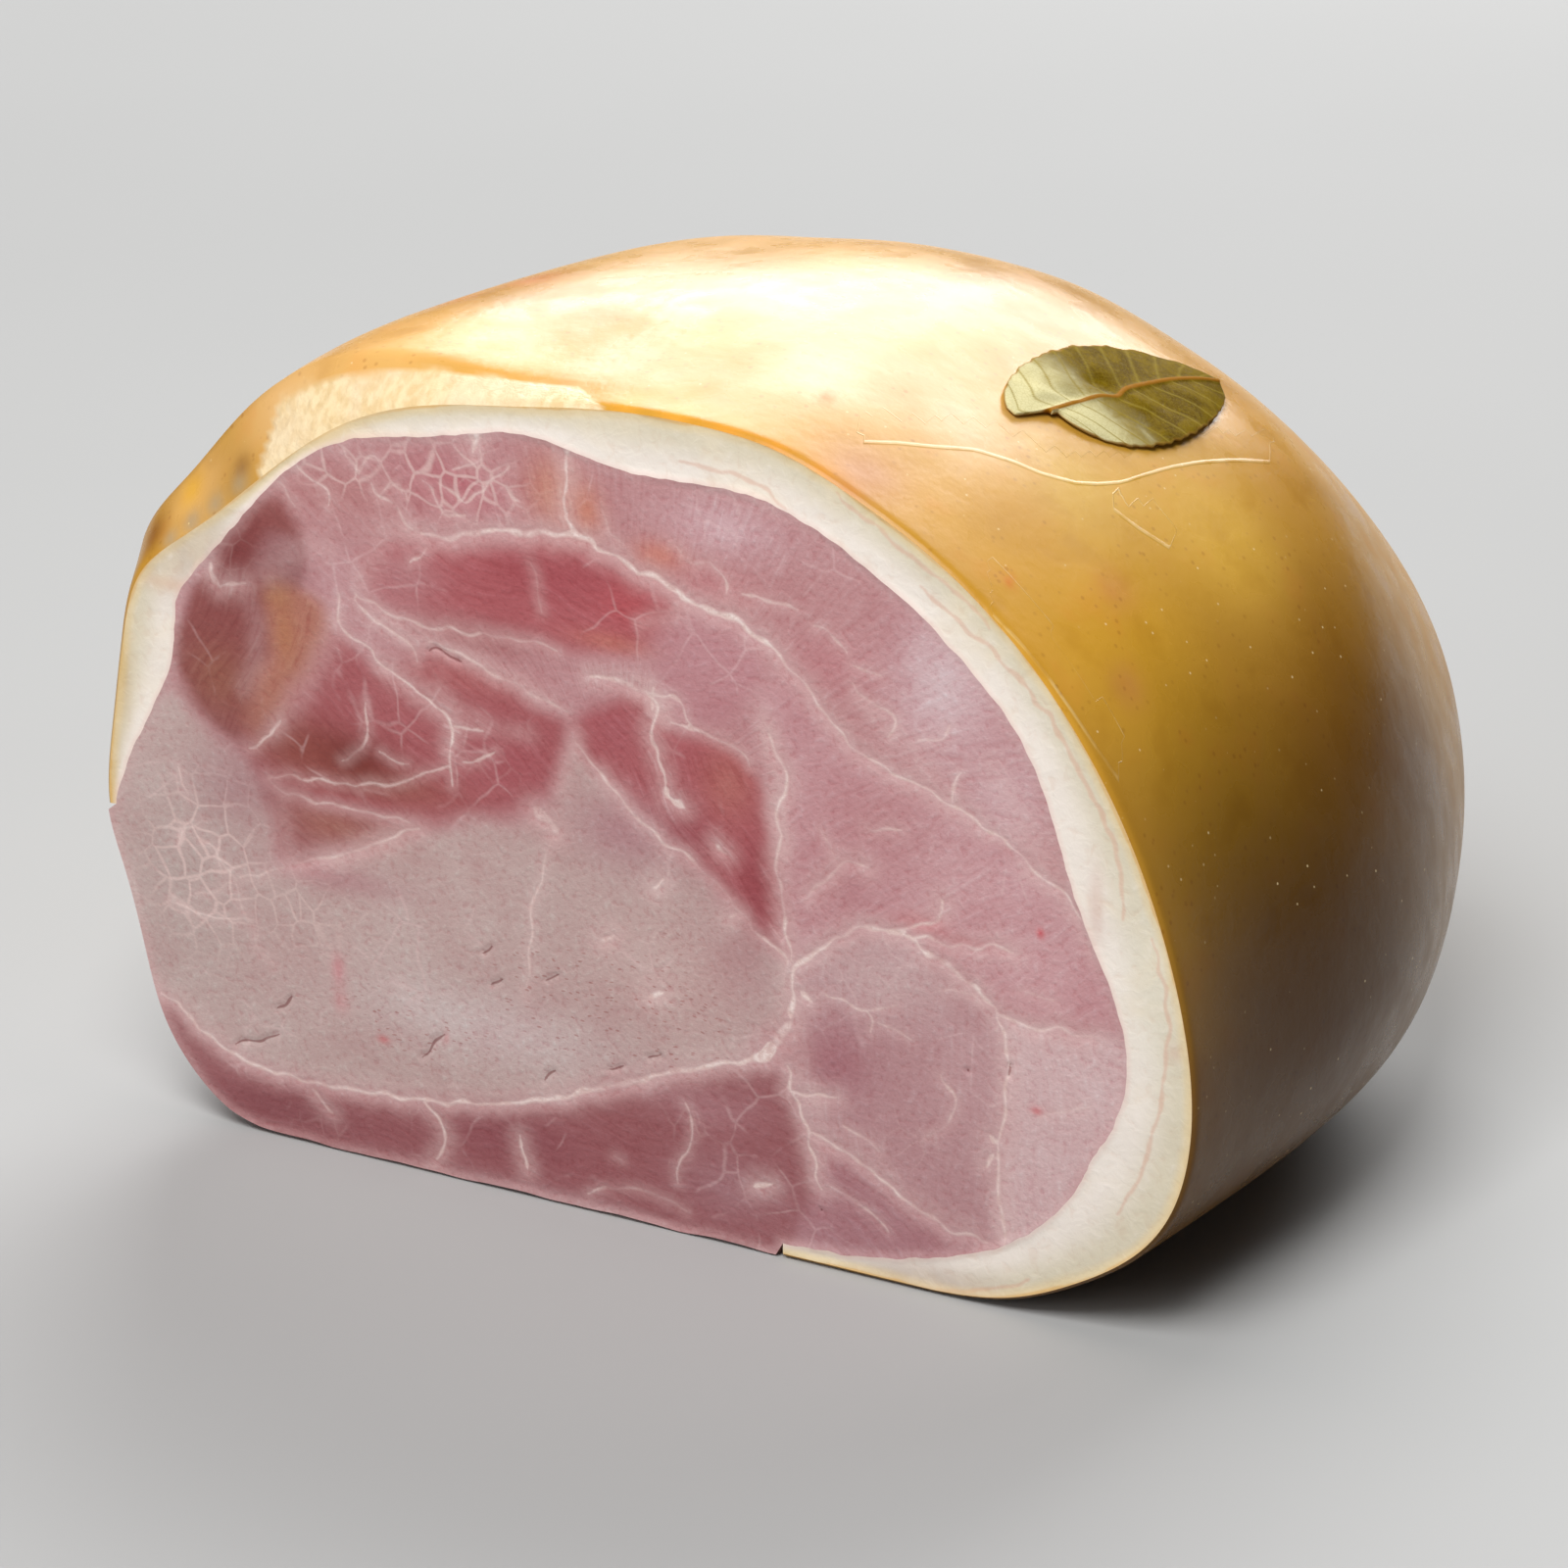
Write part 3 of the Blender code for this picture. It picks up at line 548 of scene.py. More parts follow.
# Fine veins: half width in millimetres, and photo pixels.
VEINS = (
    (0.20, ((272, 793), (299, 793), (326, 797), (360, 801), (391, 801), (421, 795), (444, 786), (460, 782))),
    (0.22, ((458, 763), (460, 782), (460, 801))), (0.22, ((460, 742), (475, 744), (494, 747))),
    (0.18, ((372, 717), (374, 744), (368, 763), (349, 778))), (0.24, ((253, 763), (268, 755), (284, 736))),
    (0.16, ((471, 778), (490, 774), (506, 768))), (0.15, ((386, 768), (402, 778), (414, 778))),
    (0.20, ((345, 606), (349, 640), (368, 656), (383, 671), (391, 682))),
    (0.20, ((360, 610), (391, 640), (421, 663), (425, 675))),
    (0.26, ((437, 656), (467, 667), (498, 686), (529, 701), (559, 717), (578, 726))),
    (0.22, ((360, 605), (400, 628), (440, 640), (480, 646), (520, 652), (548, 656), (570, 666))),
    (0.20, ((272, 797), (299, 812), (330, 820), (368, 828), (399, 835), (418, 839))),
    (0.25, ((586, 759), (609, 786), (636, 820), (666, 851), (700, 874), (726, 897), (753, 928))),
    (0.25, ((753, 928), (768, 947), (788, 966), (803, 985))),
    (0.26, ((684, 736), (703, 744), (726, 752), (749, 763), (765, 782))),
    (0.20, ((543, 575), (546, 590), (548, 606), (553, 622))), (0.20, ((418, 575), (430, 568), (436, 560))),
    (0.22, ((757, 606), (784, 614), (814, 622))), (0.16, ((830, 640), (850, 650), (862, 664))),
    (0.22, ((868, 700), (891, 719), (910, 733), (906, 752))), (0.20, ((937, 757), (956, 754), (968, 742))),
    (0.18, ((883, 843), (900, 848), (918, 847))), (0.18, ((837, 847), (845, 862), (853, 878))),
    (0.18, ((969, 818), (974, 800), (982, 788))), (0.16, ((870, 680), (884, 684), (898, 690))),
    (0.18, ((841, 1013), (878, 1029), (902, 1029), (914, 1027))),
    (0.16, ((882, 1029), (890, 1042), (888, 1054))),
    (0.20, ((959, 1095), (971, 1115), (971, 1144), (947, 1158))),
    (0.16, ((897, 1044), (915, 1052), (930, 1060))),
    (0.16, ((960, 1010), (985, 1014), (1000, 1024))), (0.14, ((1040, 1012), (1060, 1018), (1075, 1020))),
    (0.20, ((565, 855), (555, 878), (548, 904), (540, 954), (537, 1019))),
    (0.20, ((219, 870), (238, 897), (246, 925), (254, 940))), (0.20, ((238, 897), (262, 893), (290, 884))),
    (0.18, ((200, 850), (219, 870), (226, 884))), (0.16, ((238, 897), (222, 908), (200, 912))),
    (0.18, ((174, 920), (200, 930), (230, 938), (254, 940), (262, 966), (278, 984))),
    (0.16, ((180, 785), (186, 800), (192, 812))), (0.16, ((182, 860), (190, 846), (205, 838))),
    (0.20, ((698, 1127), (706, 1152), (694, 1184), (690, 1209))), (0.16, ((625, 1180), (634, 1186))),
    (0.22, ((600, 1217), (641, 1213), (673, 1221), (700, 1236))),
    (0.18, ((847, 1212), (880, 1232), (905, 1256))),
    (0.18, ((860, 1150), (880, 1160), (896, 1176))), (0.15, ((1060, 1140), (1085, 1134), (1110, 1130))),
    (0.22, ((655, 706), (690, 716), (706, 742))), (0.22, ((668, 700), (664, 726))),
    (0.20, ((352, 456), (356, 470), (368, 484))), (0.20, ((368, 484), (376, 470), (384, 468))),
    (0.18, ((378, 492), (388, 506), (398, 514))), (0.20, ((392, 500), (402, 494), (412, 506))),
    (0.20, ((430, 490), (440, 498), (444, 514), (454, 524), (474, 526))),
    (0.18, ((448, 494), (462, 504), (476, 512))),
    (0.18, ((476, 512), (490, 504), (500, 490))), (0.16, ((462, 478), (478, 476), (490, 470))),
    (0.18, ((300, 470), (312, 484), (330, 500), (335, 516))), (0.18, ((278, 486), (290, 500), (300, 514))),
    (0.16, ((500, 490), (512, 484), (520, 474))), (0.16, ((514, 500), (522, 508), (530, 512))),
    (0.16, ((406, 520), (412, 534), (420, 540))), (0.16, ((614, 520), (620, 540), (636, 556))),
    (0.16, ((690, 560), (704, 572), (724, 576))), (0.16, ((724, 576), (738, 590), (740, 606))),
)
# Dark slits and specks: half width in millimetres, and photo pixels.
SLITS = (
    (0.18, ((238, 1065), (253, 1063), (269, 1062), (284, 1056))),
    (0.22, ((437, 666), (441, 663), (452, 665))),
    (0.18, ((452, 665), (462, 671), (470, 676))), (0.22, ((1028, 1088), (1027, 1097))),
    (0.30, ((987, 1092), (988, 1093))), (0.25, ((837, 1233), (839, 1235))), (0.40, ((136, 684), (134, 688))),
    (0.20, ((281, 1030), (290, 1026), (298, 1020))),
    (0.18, ((428, 1080), (440, 1066), (452, 1056))),
    (0.16, ((556, 1000), (568, 994))), (0.16, ((492, 974), (500, 966))), (0.16, ((500, 1006), (510, 998))),
    (0.16, ((660, 1080), (672, 1074))), (0.18, ((556, 1104), (566, 1094))),
    (0.16, ((620, 1092), (636, 1090))),
)

# Direction of the fibres in each of the muscles, in degrees from level, and none where they run out to the
# rim; and how strong their streaks are.
FIBRES = (None, None, 24, -12, -35, -22, 62, 5, 68, 15, -52, 38, 84, 100, -8, -32)
STREAKS = (0.5, 0.5, 0.10, 0.8, 0.8, 0.8, 0.9, 0.3, 0.9, 0.4, 1.0, 0.5, 0.3, 0.3, 0.6, 0.6)
# Pale bands where a muscle gets thin over white tissue: half width in millimetres, strength, photo pixels.
PALE_BANDS = (
    (2.6, 0.34, ((352, 606), (400, 642), (470, 668), (540, 702), (580, 726))),
    (2.8, 0.28, ((348, 606), (336, 660), (304, 712), (262, 762))),
    (2.8, 0.26, ((350, 600), (378, 572), (392, 546), (430, 546))),
    (2.2, 0.32, ((590, 730), (582, 770), (562, 818))), (3.0, 0.30, ((640, 690), (662, 712), (690, 735))),
    (3.0, 0.30, ((600, 772), (650, 832), (720, 894))), (2.2, 0.30, ((776, 700), (790, 800), (800, 900))),
    (3.0, 0.22, ((262, 600), (300, 565), (350, 560))), (2.4, 0.22, ((250, 600), (262, 660), (240, 720))),
    (2.6, 0.25, ((286, 800), (300, 880), (350, 872), (420, 850))),
    (2.0, 0.3, ((640, 640), (668, 632), (700, 628))),
    (2.4, 0.30, ((812, 1000), (822, 1100), (850, 1160))), (2.0, 0.25, ((430, 690), (500, 740), (560, 752))),
    (3.4, 0.30, ((1000, 760), (1040, 830), (1080, 900))), (2.2, 0.25, ((860, 700), (910, 750), (970, 800))),
)
PALE = (214, 182, 179)
# Where a net of thin fat lines shows, and where small pores do: photo pixel, reach in pixels, strength.
NETS = (
    ((455, 490), (90, 44), 1.0), ((345, 478), (56, 34), 0.8), ((210, 880), (70, 100), 0.95),
    ((300, 930), (80, 60), 0.6), ((230, 560), (50, 60), 0.35), ((500, 780), (60, 40), 0.35),
    ((930, 1170), (70, 60), 0.40), ((330, 1150), (60, 20), 0.35), ((900, 700), (70, 40), 0.30),
    ((860, 860), (60, 40), 0.30), ((700, 1150), (60, 40), 0.35), ((480, 960), (60, 60), 0.30),
)
PORES = (
    ((620, 1030), (150, 70), 1.0), ((420, 1045), (120, 50), 0.7), ((700, 960), (70, 60), 0.5),
    ((290, 1015), (50, 30), 0.5), ((960, 1060), (60, 40), 0.35), ((560, 880), (60, 40), 0.25),
)
# What share of its width in the table a seam has.
SEAM_SHARE = 0.62
# How far a line wanders from its points, over what length, and how uneven its width is over what length.
WANDER = 0.76 * MM
WANDER_LENGTH = 5.5 * MM
WIDTH_UNEVEN = 0.75
WIDTH_UNEVEN_LENGTH = 4.5 * MM
# How far the borders of the muscles wander, over what length, and how far from them the streaks start.
BORDER_WANDER = 1.2 * MM
BORDER_WANDER_LENGTH = 14.0 * MM
STREAK_START = 1.6 * MM
# The photo pixel that the fibres without a direction run out from, how far apart they fan out in metres for
# each radian, how much they are pulled out along themselves, and how far the others bend over what length.
FIBRE_CENTRE = (640, 840)
FIBRE_FAN = 0.065
FIBRE_PULL = 0.14
FIBRE_BEND = 2.5 * MM
FIBRE_BEND_LENGTH = 30.0 * MM
FIBRE_LAYER = 0.05
# What the surface adds to the light of the cut face, how strongly its colour shows, and the colour's limits.
SURFACE_SHINE = 0.030
FACE_LIGHT = 0.98
DARKEST, LIGHTEST = 0.004, 0.92

# Tones of the fat on the cut: screen colour, strength, photo pixel, and reach in pixels.
FAT_INNER = (236, 226, 216)
FAT_OUTER = (216, 206, 184)
FAT_PATCHES = (
    ((250, 230, 196), 0.9, (560, 402), (60, 16)), ((228, 208, 178), 0.9, (330, 442), (80, 22)),
    ((224, 218, 202), 0.7, (1178, 1000), (30, 90)), ((190, 174, 160), 0.8, (200, 565), (60, 50)),
    ((196, 180, 172), 0.8, (950, 1308), (80, 18)), ((210, 176, 166), 0.5, (1118, 928), (8, 40)),
    ((212, 180, 160), 0.5, (1198, 1075), (8, 10)), ((216, 176, 148), 0.5, (172, 596), (30, 8)),
    ((198, 172, 132), 0.9, (122, 672), (10, 60)), ((186, 150, 100), 0.9, (108, 800), (10, 120)),
)
PINK_LINES = (
    (0.25, ((692, 472), (737, 481), (769, 494), (801, 517))),
    (0.30, ((937, 599), (1002, 656), (1059, 717), (1098, 782), (1136, 863), (1147, 939))),
    (0.22, ((1175, 960), (1190, 1030), (1188, 1100), (1170, 1180), (1140, 1240))),
    (0.22, ((850, 500), (900, 545), (960, 592), (1010, 640))),
    (0.20, ((900, 1308), (950, 1316), (1010, 1316), (1050, 1306))),
)

# The outside of the rind as shares of light, its own marks with painted highlight, sheen and shade among
# them: colour, strength, photo pixel, reach in millimetres.
RIND_BASE = (0.57, 0.290, 0.040)
RIND_MARKS_AND_PAINTED_LIGHT = (
    # Painted light: the rind lighter on the lit flank by the cut, and painted sheen on the shoulder.
    ((0.72, 0.370, 0.026), 0.8, (1150, 650), 24.0), ((0.68, 0.370, 0.045), 0.7, (1150, 480), 26.0),
    # Next, to (200, 505): lighter rind on the top left, partly its own tone and partly painted sheen.
    ((0.80, 0.460, 0.150), 0.8, (400, 350), 24.0), ((0.78, 0.470, 0.200), 0.8, (290, 410), 12.0),
    ((0.76, 0.440, 0.170), 0.8, (200, 505), 9.0), ((0.76, 0.380, 0.080), 0.7, (520, 370), 12.0),
    # In this row from (1250, 820) on, and in the next two rows: painted shade, the rind darker low on the
    # right.
    ((0.66, 0.290, 0.030), 0.6, (760, 430), 14.0), ((0.44, 0.220, 0.006), 0.7, (1250, 820), 26.0),
    ((0.38, 0.160, 0.008), 0.7, (1370, 680), 24.0), ((0.13, 0.050, 0.003), 0.85, (1440, 800), 38.0),
    ((0.06, 0.022, 0.002), 0.9, (1370, 980), 46.0), ((0.06, 0.022, 0.002), 0.8, (1290, 1060), 36.0),
    # Painted highlight: near-white patches on the top, and painted sheen on the shoulder at (1250, 550) and
    # (1100, 500).
    ((0.86, 0.660, 0.420), 0.7, (845, 385), 13.0), ((0.86, 0.640, 0.400), 0.6, (740, 290), 14.0),
    ((0.84, 0.600, 0.360), 0.6, (640, 365), 10.0), ((0.74, 0.440, 0.060), 0.7, (1250, 550), 14.0),
    ((0.76, 0.500, 0.100), 0.6, (1100, 500), 11.0), ((0.80, 0.560, 0.300), 0.6, (980, 430), 12.0),
    # From here on: the rind's own small marks, spots, reddish streaks, the grey skin on the left and the
    # orange band by the rim.
    ((0.56, 0.230, 0.060), 0.6, (1138, 600), 4.5), ((0.50, 0.190, 0.060), 0.5, (1150, 700), 4.0),
    ((0.56, 0.260, 0.160), 0.6, (880, 482), 8.0), ((0.62, 0.180, 0.050), 0.6, (545, 285), 6.0),
    ((0.62, 0.220, 0.040), 0.6, (470, 305), 5.0), ((0.62, 0.150, 0.010), 0.9, (1031, 593), 1.3),
    ((0.60, 0.150, 0.020), 0.8, (758, 292), 1.5), ((0.60, 0.150, 0.020), 0.8, (762, 325), 1.5),
    ((0.60, 0.170, 0.020), 0.8, (845, 405), 1.5), ((0.30, 0.110, 0.012), 0.9, (157, 545), 4.0),
    ((0.74, 0.380, 0.030), 0.8, (196, 500), 4.0), ((0.26, 0.110, 0.030), 0.7, (247, 476), 2.5),
    ((0.42, 0.310, 0.200), 0.8, (244, 494), 2.4), ((0.44, 0.330, 0.220), 0.8, (220, 514), 2.4),
    ((0.44, 0.330, 0.220), 0.8, (196, 532), 2.2), ((0.46, 0.340, 0.220), 0.8, (174, 550), 2.0),
    ((0.80, 0.340, 0.040), 0.7, (640, 412), 3.2), ((0.80, 0.340, 0.040), 0.7, (690, 424), 3.2),
    ((0.80, 0.340, 0.040), 0.7, (740, 440), 3.2), ((0.78, 0.320, 0.040), 0.7, (790, 462), 3.2),
    ((0.74, 0.300, 0.040), 0.7, (836, 484), 3.2), ((0.62, 0.250, 0.060), 0.7, (866, 500), 2.6),
)

# The trimmed slope and the bare fat with its dry skin: share of the trimmed depth that shows as a slope,
# directions from the middle of the section in degrees, and the depth of the skin in millimetres.
SLOPE_SHARE = 0.74
SLOPE_FROM = 94.0
SLOPE_TO = 143.0
SKIN_FROM = 161.0
SKIN_DEPTH = 78.0

# Painted shade: the rind darker low on the right, toward the floor: share of light, strength, and places in
# metres
PAINTED_SHADE_TONE = (0.085, 0.032, 0.003)
PAINTED_SHADE_STRENGTH = 0.85
PAINTED_SHADE_TOP = 0.075
PAINTED_SHADE_LEFT = 0.005
PAINTED_SHADE_FADE = 0.065

# Fine wrinkles and scratches of the rind: photo pixels
CREASES = (
    ((875, 451), (915, 452), (955, 456), (995, 459), (1034, 471), (1062, 483), (1098, 493), (1122, 494),
     (1146, 492), (1170, 484), (1194, 477), (1222, 472), (1250, 470), (1274, 470), (1298, 472)),
    ((1134, 518), (1160, 538), (1198, 562)),
    ((1010, 624), (1040, 655), (1071, 693), (1096, 729), (1118, 762), (1144, 799)),
)

# Spacing of the points on the cut face, their spacing along the lines, how near they may come to a line,
# and the seed of their random places. A distance of FAR millimetres means that nothing is near.
SPACING = 0.62 * MM
LINE_SPACING = 0.45 * MM
CLOSE = 0.30 * MM
SEED = 7
FAR = 30.0
# Relief of the cut face: depth and half width of seams, veins and slits in millimetres, the swell between
# them, and how many millimetres from the rim the relief takes to grow.
PRESSED_IN = (("seam", 0.14, 0.9), ("vein", 0.04, 0.6), ("slit", 0.35, 0.35))
SWELL = 0.35 * MM
SWELL_START = 1.2
# Pale haze beside seams and veins and along the rim of the lean: reach in millimetres, and strength.
HAZES = (("seam", 2.6, 0.42), ("vein", 1.5, 0.24))
RIM_HAZE = (1.6, 0.30)
SIDE_TONE = (150, 98, 90)


def soft_waves(points, scale, count=5, seed=3):
    """A smooth irregular value between about -1 and 1 at the points, with waves of about that length."""
    random = np.random.default_rng(seed)
    total = np.zeros(len(points))
    for _ in range(count):
        way = random.normal(size=points.shape[1])
        way *= 2.0 * math.pi / scale / np.linalg.norm(way) * random.uniform(0.7, 1.5)
        total += np.sin(points @ way + random.uniform(0.0, 6.28))
    return total / count


def path_of(line, spacing):
    """The line on the cut, wandering a little as grown tissue does."""
    path = smooth_line(on_cut(line), spacing)
    aside = np.c_[soft_waves(path, WANDER_LENGTH, 6, 31), soft_waves(path, WANDER_LENGTH, 6, 32)]
    return path + WANDER * aside


def field(places, lines, reach=5.0 * MM):
    """Distance in millimetres from the nearest of the lines, less its uneven half width there."""
    found = np.full(len(places), FAR)
    uneven = 1.0 + WIDTH_UNEVEN * soft_waves(places, WIDTH_UNEVEN_LENGTH, 6, 33)
    for half, other, line in lines:
        path = path_of(line, 0.6 * MM)
        close = near(places, path, reach)
        if len(close) == 0:
            continue
        gap, share = line_distance(places[close], path)
        taper = np.minimum(1.0, 0.35 + 4.0 * np.minimum(share, 1.0 - share))
        width = (half + (other - half) * share) * uneven[close] * taper
        found[close] = np.minimum(found[close], gap / MM - width)
    return found


def even_lines(lines):
    """Lines of one width, as rows with the width at both ends."""
    return [(half, half, line) for half, line in lines]


def scatter(outline, lines, margin):
    """Places inside the outline, evenly spread, with rows of them along the lines."""
    random = np.random.default_rng(SEED)
    low, high = outline.min(axis=0), outline.max(axis=0)
    step = np.array([SPACING, SPACING * math.sqrt(0.75)])
    count = ((high - low) / step).astype(int) + 1
    column, row = np.meshgrid(np.arange(count[0]), np.arange(count[1]))
    grid = np.c_[(column + 0.5 * (row % 2)).ravel(), row.ravel()] * step + low
    grid = grid + random.uniform(-0.13, 0.13, grid.shape) * SPACING
    closed = np.vstack([outline, outline[:1]])
    paths = [path_of(line, LINE_SPACING) for _, _, line in lines]
    kept = []
    for places in (grid, np.vstack(paths)):
        places = places[inside(places, outline)]
        places = places[line_distance(places, closed)[0] > margin]
        if not kept:
            gap = np.full(len(places), FAR)
            for path in paths:
                close = near(places, path, 2.0 * CLOSE)
                if len(close):
                    gap[close] = np.minimum(gap[close], line_distance(places[close], path)[0])
            places = places[gap > CLOSE]
        kept.append(places)
    return np.vstack(kept)


def triangulated(outline, places):
    """Triangles inside the outline: the points and the faces."""
    points = np.vstack([outline, places])
    ring = list(range(len(outline)))
    found = delaunay_2d_cdt([Vector(p) for p in points], [], [ring], 1, 1e-7)
    return np.array([v[:] for v in found[0]]), [tuple(face) for face in found[2]]


def albedo(light):
    """The colour of a surface on the cut face that the light of the photograph shows as this."""
    return np.clip((light - SURFACE_SHINE) / FACE_LIGHT, DARKEST, LIGHTEST)


def blended(tone, colour, share):
    """The tone of each place, turned into the colour by its share."""
    return tone * (1.0 - share[:, None]) + colour * share[:, None]


def spot_share(places, pixel, reach):
    """How much of a soft patch is at each place: all of it at the pixel, and none well past its reach."""
    middle = on_cut([pixel])[0]
    edge = on_cut([(pixel[0] + reach[0], pixel[1]), (pixel[0], pixel[1] + reach[1])])
    wide, high = np.linalg.norm(edge - middle, axis=1)
    return np.exp(-((places[:, 0] - middle[0]) / wide) ** 2 - ((places[:, 1] - middle[1]) / high) ** 2)


def patched(tone, places, patches):
    """The tone of each place with the soft patches laid over it."""
    for colour, strength, pixel, reach in patches:
        tone = blended(tone, linear(colour), strength * spot_share(places, pixel, reach))
    return tone


def spots(places, rows):
    """The strongest of the soft spots at each place, from 0 to 1."""
    return np.max([strength * spot_share(places, pixel, reach) for pixel, reach, strength in rows], axis=0)


def muscle_values(places):
    """Tone, muscle and strength of the streaks of each place on the lean of the cut."""
    tone = np.tile(linear(MUSCLES[0][0]), (len(places), 1))
    kind = np.zeros(len(places), int)
    calm = np.ones(len(places))
    moved = [soft_waves(places, BORDER_WANDER_LENGTH, 6, seed) for seed in (41, 42)]
    wavy = places + BORDER_WANDER * np.c_[moved[0], moved[1]]
    for index, (colour, softness, outline) in enumerate(MUSCLES):
        path = smooth_line(on_cut(outline), 3.0 * MM, closed=True)[:-1]
        close = near(wavy, path, 3.0 * softness * MM)
        gap, _ = line_distance(wavy[close], np.vstack([path, path[:1]]))
        within = inside(wavy[close], path)
        signed = np.where(within, gap, -gap) / MM
        tone[close] = blended(tone[close], linear(colour), smooth_step(0.5 + signed / (2.9 * softness)))
        kind[close[within]] = index
        calm[close] = np.minimum(calm[close], smooth_step(gap / STREAK_START - 0.45))
    tone = patched(tone, places, PATCHES)
    for half, strength, line in PALE_BANDS:
        path = path_of(line, 1.5 * MM)
        close = near(places, path, 3.0 * half * MM)
        gap, share = line_distance(places[close], path)
        ends = smooth_step(6.0 * np.minimum(share, 1.0 - share))
        tone[close] = blended(tone[close], linear(PALE), strength * ends * bell(gap, half * MM))
    return tone, kind, calm * np.array(STREAKS)[kind]


def fibre_places(places, kind):
    """Places along and across the fibres, pulled long along them, one layer for each muscle."""
    away = places - on_cut([FIBRE_CENTRE])[0]
    angle, distance = np.arctan2(away[:, 1], away[:, 0]), np.linalg.norm(away, axis=1)
    along, across = distance, angle * FIBRE_FAN
    for index, degrees in enumerate(FIBRES):
        if degrees is not None:
            turn = math.radians(degrees)
            bend = FIBRE_BEND * soft_waves(places, FIBRE_BEND_LENGTH, 5, 50 + index)
            mine = kind == index
            along = np.where(mine, places @ np.array([math.cos(turn), math.sin(turn)]), along)
            across = np.where(mine, places @ np.array([-math.sin(turn), math.cos(turn)]) + bend, across)
    return np.c_[along * FIBRE_PULL, across, kind * FIBRE_LAYER]


def face_values(places, boundary, sign):
    """The distances on the cut face that the materials use, in millimetres."""
    edge, _ = line_distance(places, np.vstack([boundary, boundary[:1]]))
    seams = [(a * SEAM_SHARE, b * SEAM_SHARE, line) for a, b, line in SEAMS]
    return {
        "seam": field(places, seams),
        "vein": field(places, even_lines(VEINS)),
        "slit": field(places, even_lines(SLITS)),
        "edge": np.minimum(edge / MM, FAR) * sign,
        "cut": np.ones(len(places)),
    }


def pressed_in(values):
    """How far seams and slits lie behind the plane of the cut, in metres."""
    return sum(depth * bell(np.maximum(values[key], 0.0), half) for key, depth, half in PRESSED_IN) * MM


def make_object(name, points, faces, attributes):
    """A mesh object with the named values on its points: numbers, colours or places."""
    mesh = bpy.data.meshes.new(name)
    points = np.clip(points, *cad_box)
    mesh.from_pydata([tuple(p) for p in points], [], faces)
    for key, values in attributes.items():
        values = np.asarray(values, np.float32)
        if values.ndim == 1:
            mesh.attributes.new(key, "FLOAT", "POINT").data.foreach_set("value", values)
        elif key == "tone":
            flat = np.c_[values, np.ones(len(values), np.float32)].ravel()
            mesh.attributes.new(key, "FLOAT_COLOR", "POINT").data.foreach_set("color", flat)
        else:
            mesh.attributes.new(key, "FLOAT_VECTOR", "POINT").data.foreach_set("vector", values.ravel())
    mesh.polygons.foreach_set("use_smooth", np.ones(len(mesh.polygons), bool))
    made = bpy.data.objects.new(name, mesh)
    bpy.context.collection.objects.link(made)
    return made


def sheet_faces(ring_count, column_count, has_face):
    """Faces between the rings and to the end point, for the cells where has_face is true."""
    faces = []
    for i in range(ring_count):
        for j in range(column_count):
            if not has_face(i, j):
                continue
            a = i * column_count + j
            b = i * column_count + (j + 1) % column_count
            if i == ring_count - 1:
                faces.append((a, ring_count * column_count, b))
            else:
                faces.append((a, a + column_count, b + column_count, b))
    return faces


def moved_on(faces, count):
    """The same faces on points that come so many places later."""
    return [tuple(v + count for v in face) for face in faces]


def open_edges(faces):
    """Edges that only one face has, in that face's direction."""
    directed = [(face[k], face[(k + 1) % len(face)]) for face in faces for k in range(len(face))]
    present = set(directed)
    return [(a, b) for a, b in directed if (b, a) not in present]


def only_used(points, faces, values):
    """The same surface without the points that no face uses."""
    used = np.unique(np.concatenate([np.asarray(face) for face in faces]))
    new = np.zeros(len(points), int)
    new[used] = np.arange(len(used))
    faces = [tuple(int(new[v]) for v in face) for face in faces]
    return points[used], faces, {key: value[used] for key, value in values.items()}


def toward_front(faces, points):
    """The flat faces of the cut, turned so that they look along -Y."""
    a, b, c = (points[v] for v in faces[0])
    if np.cross(b - a, c - a)[1] > 0:
        return [face[::-1] for face in faces]
    return faces


def joined(first, second):
    """Two sets of values on points, one after the other."""
    return {key: np.concatenate([first[key], second[key]]) for key in first}


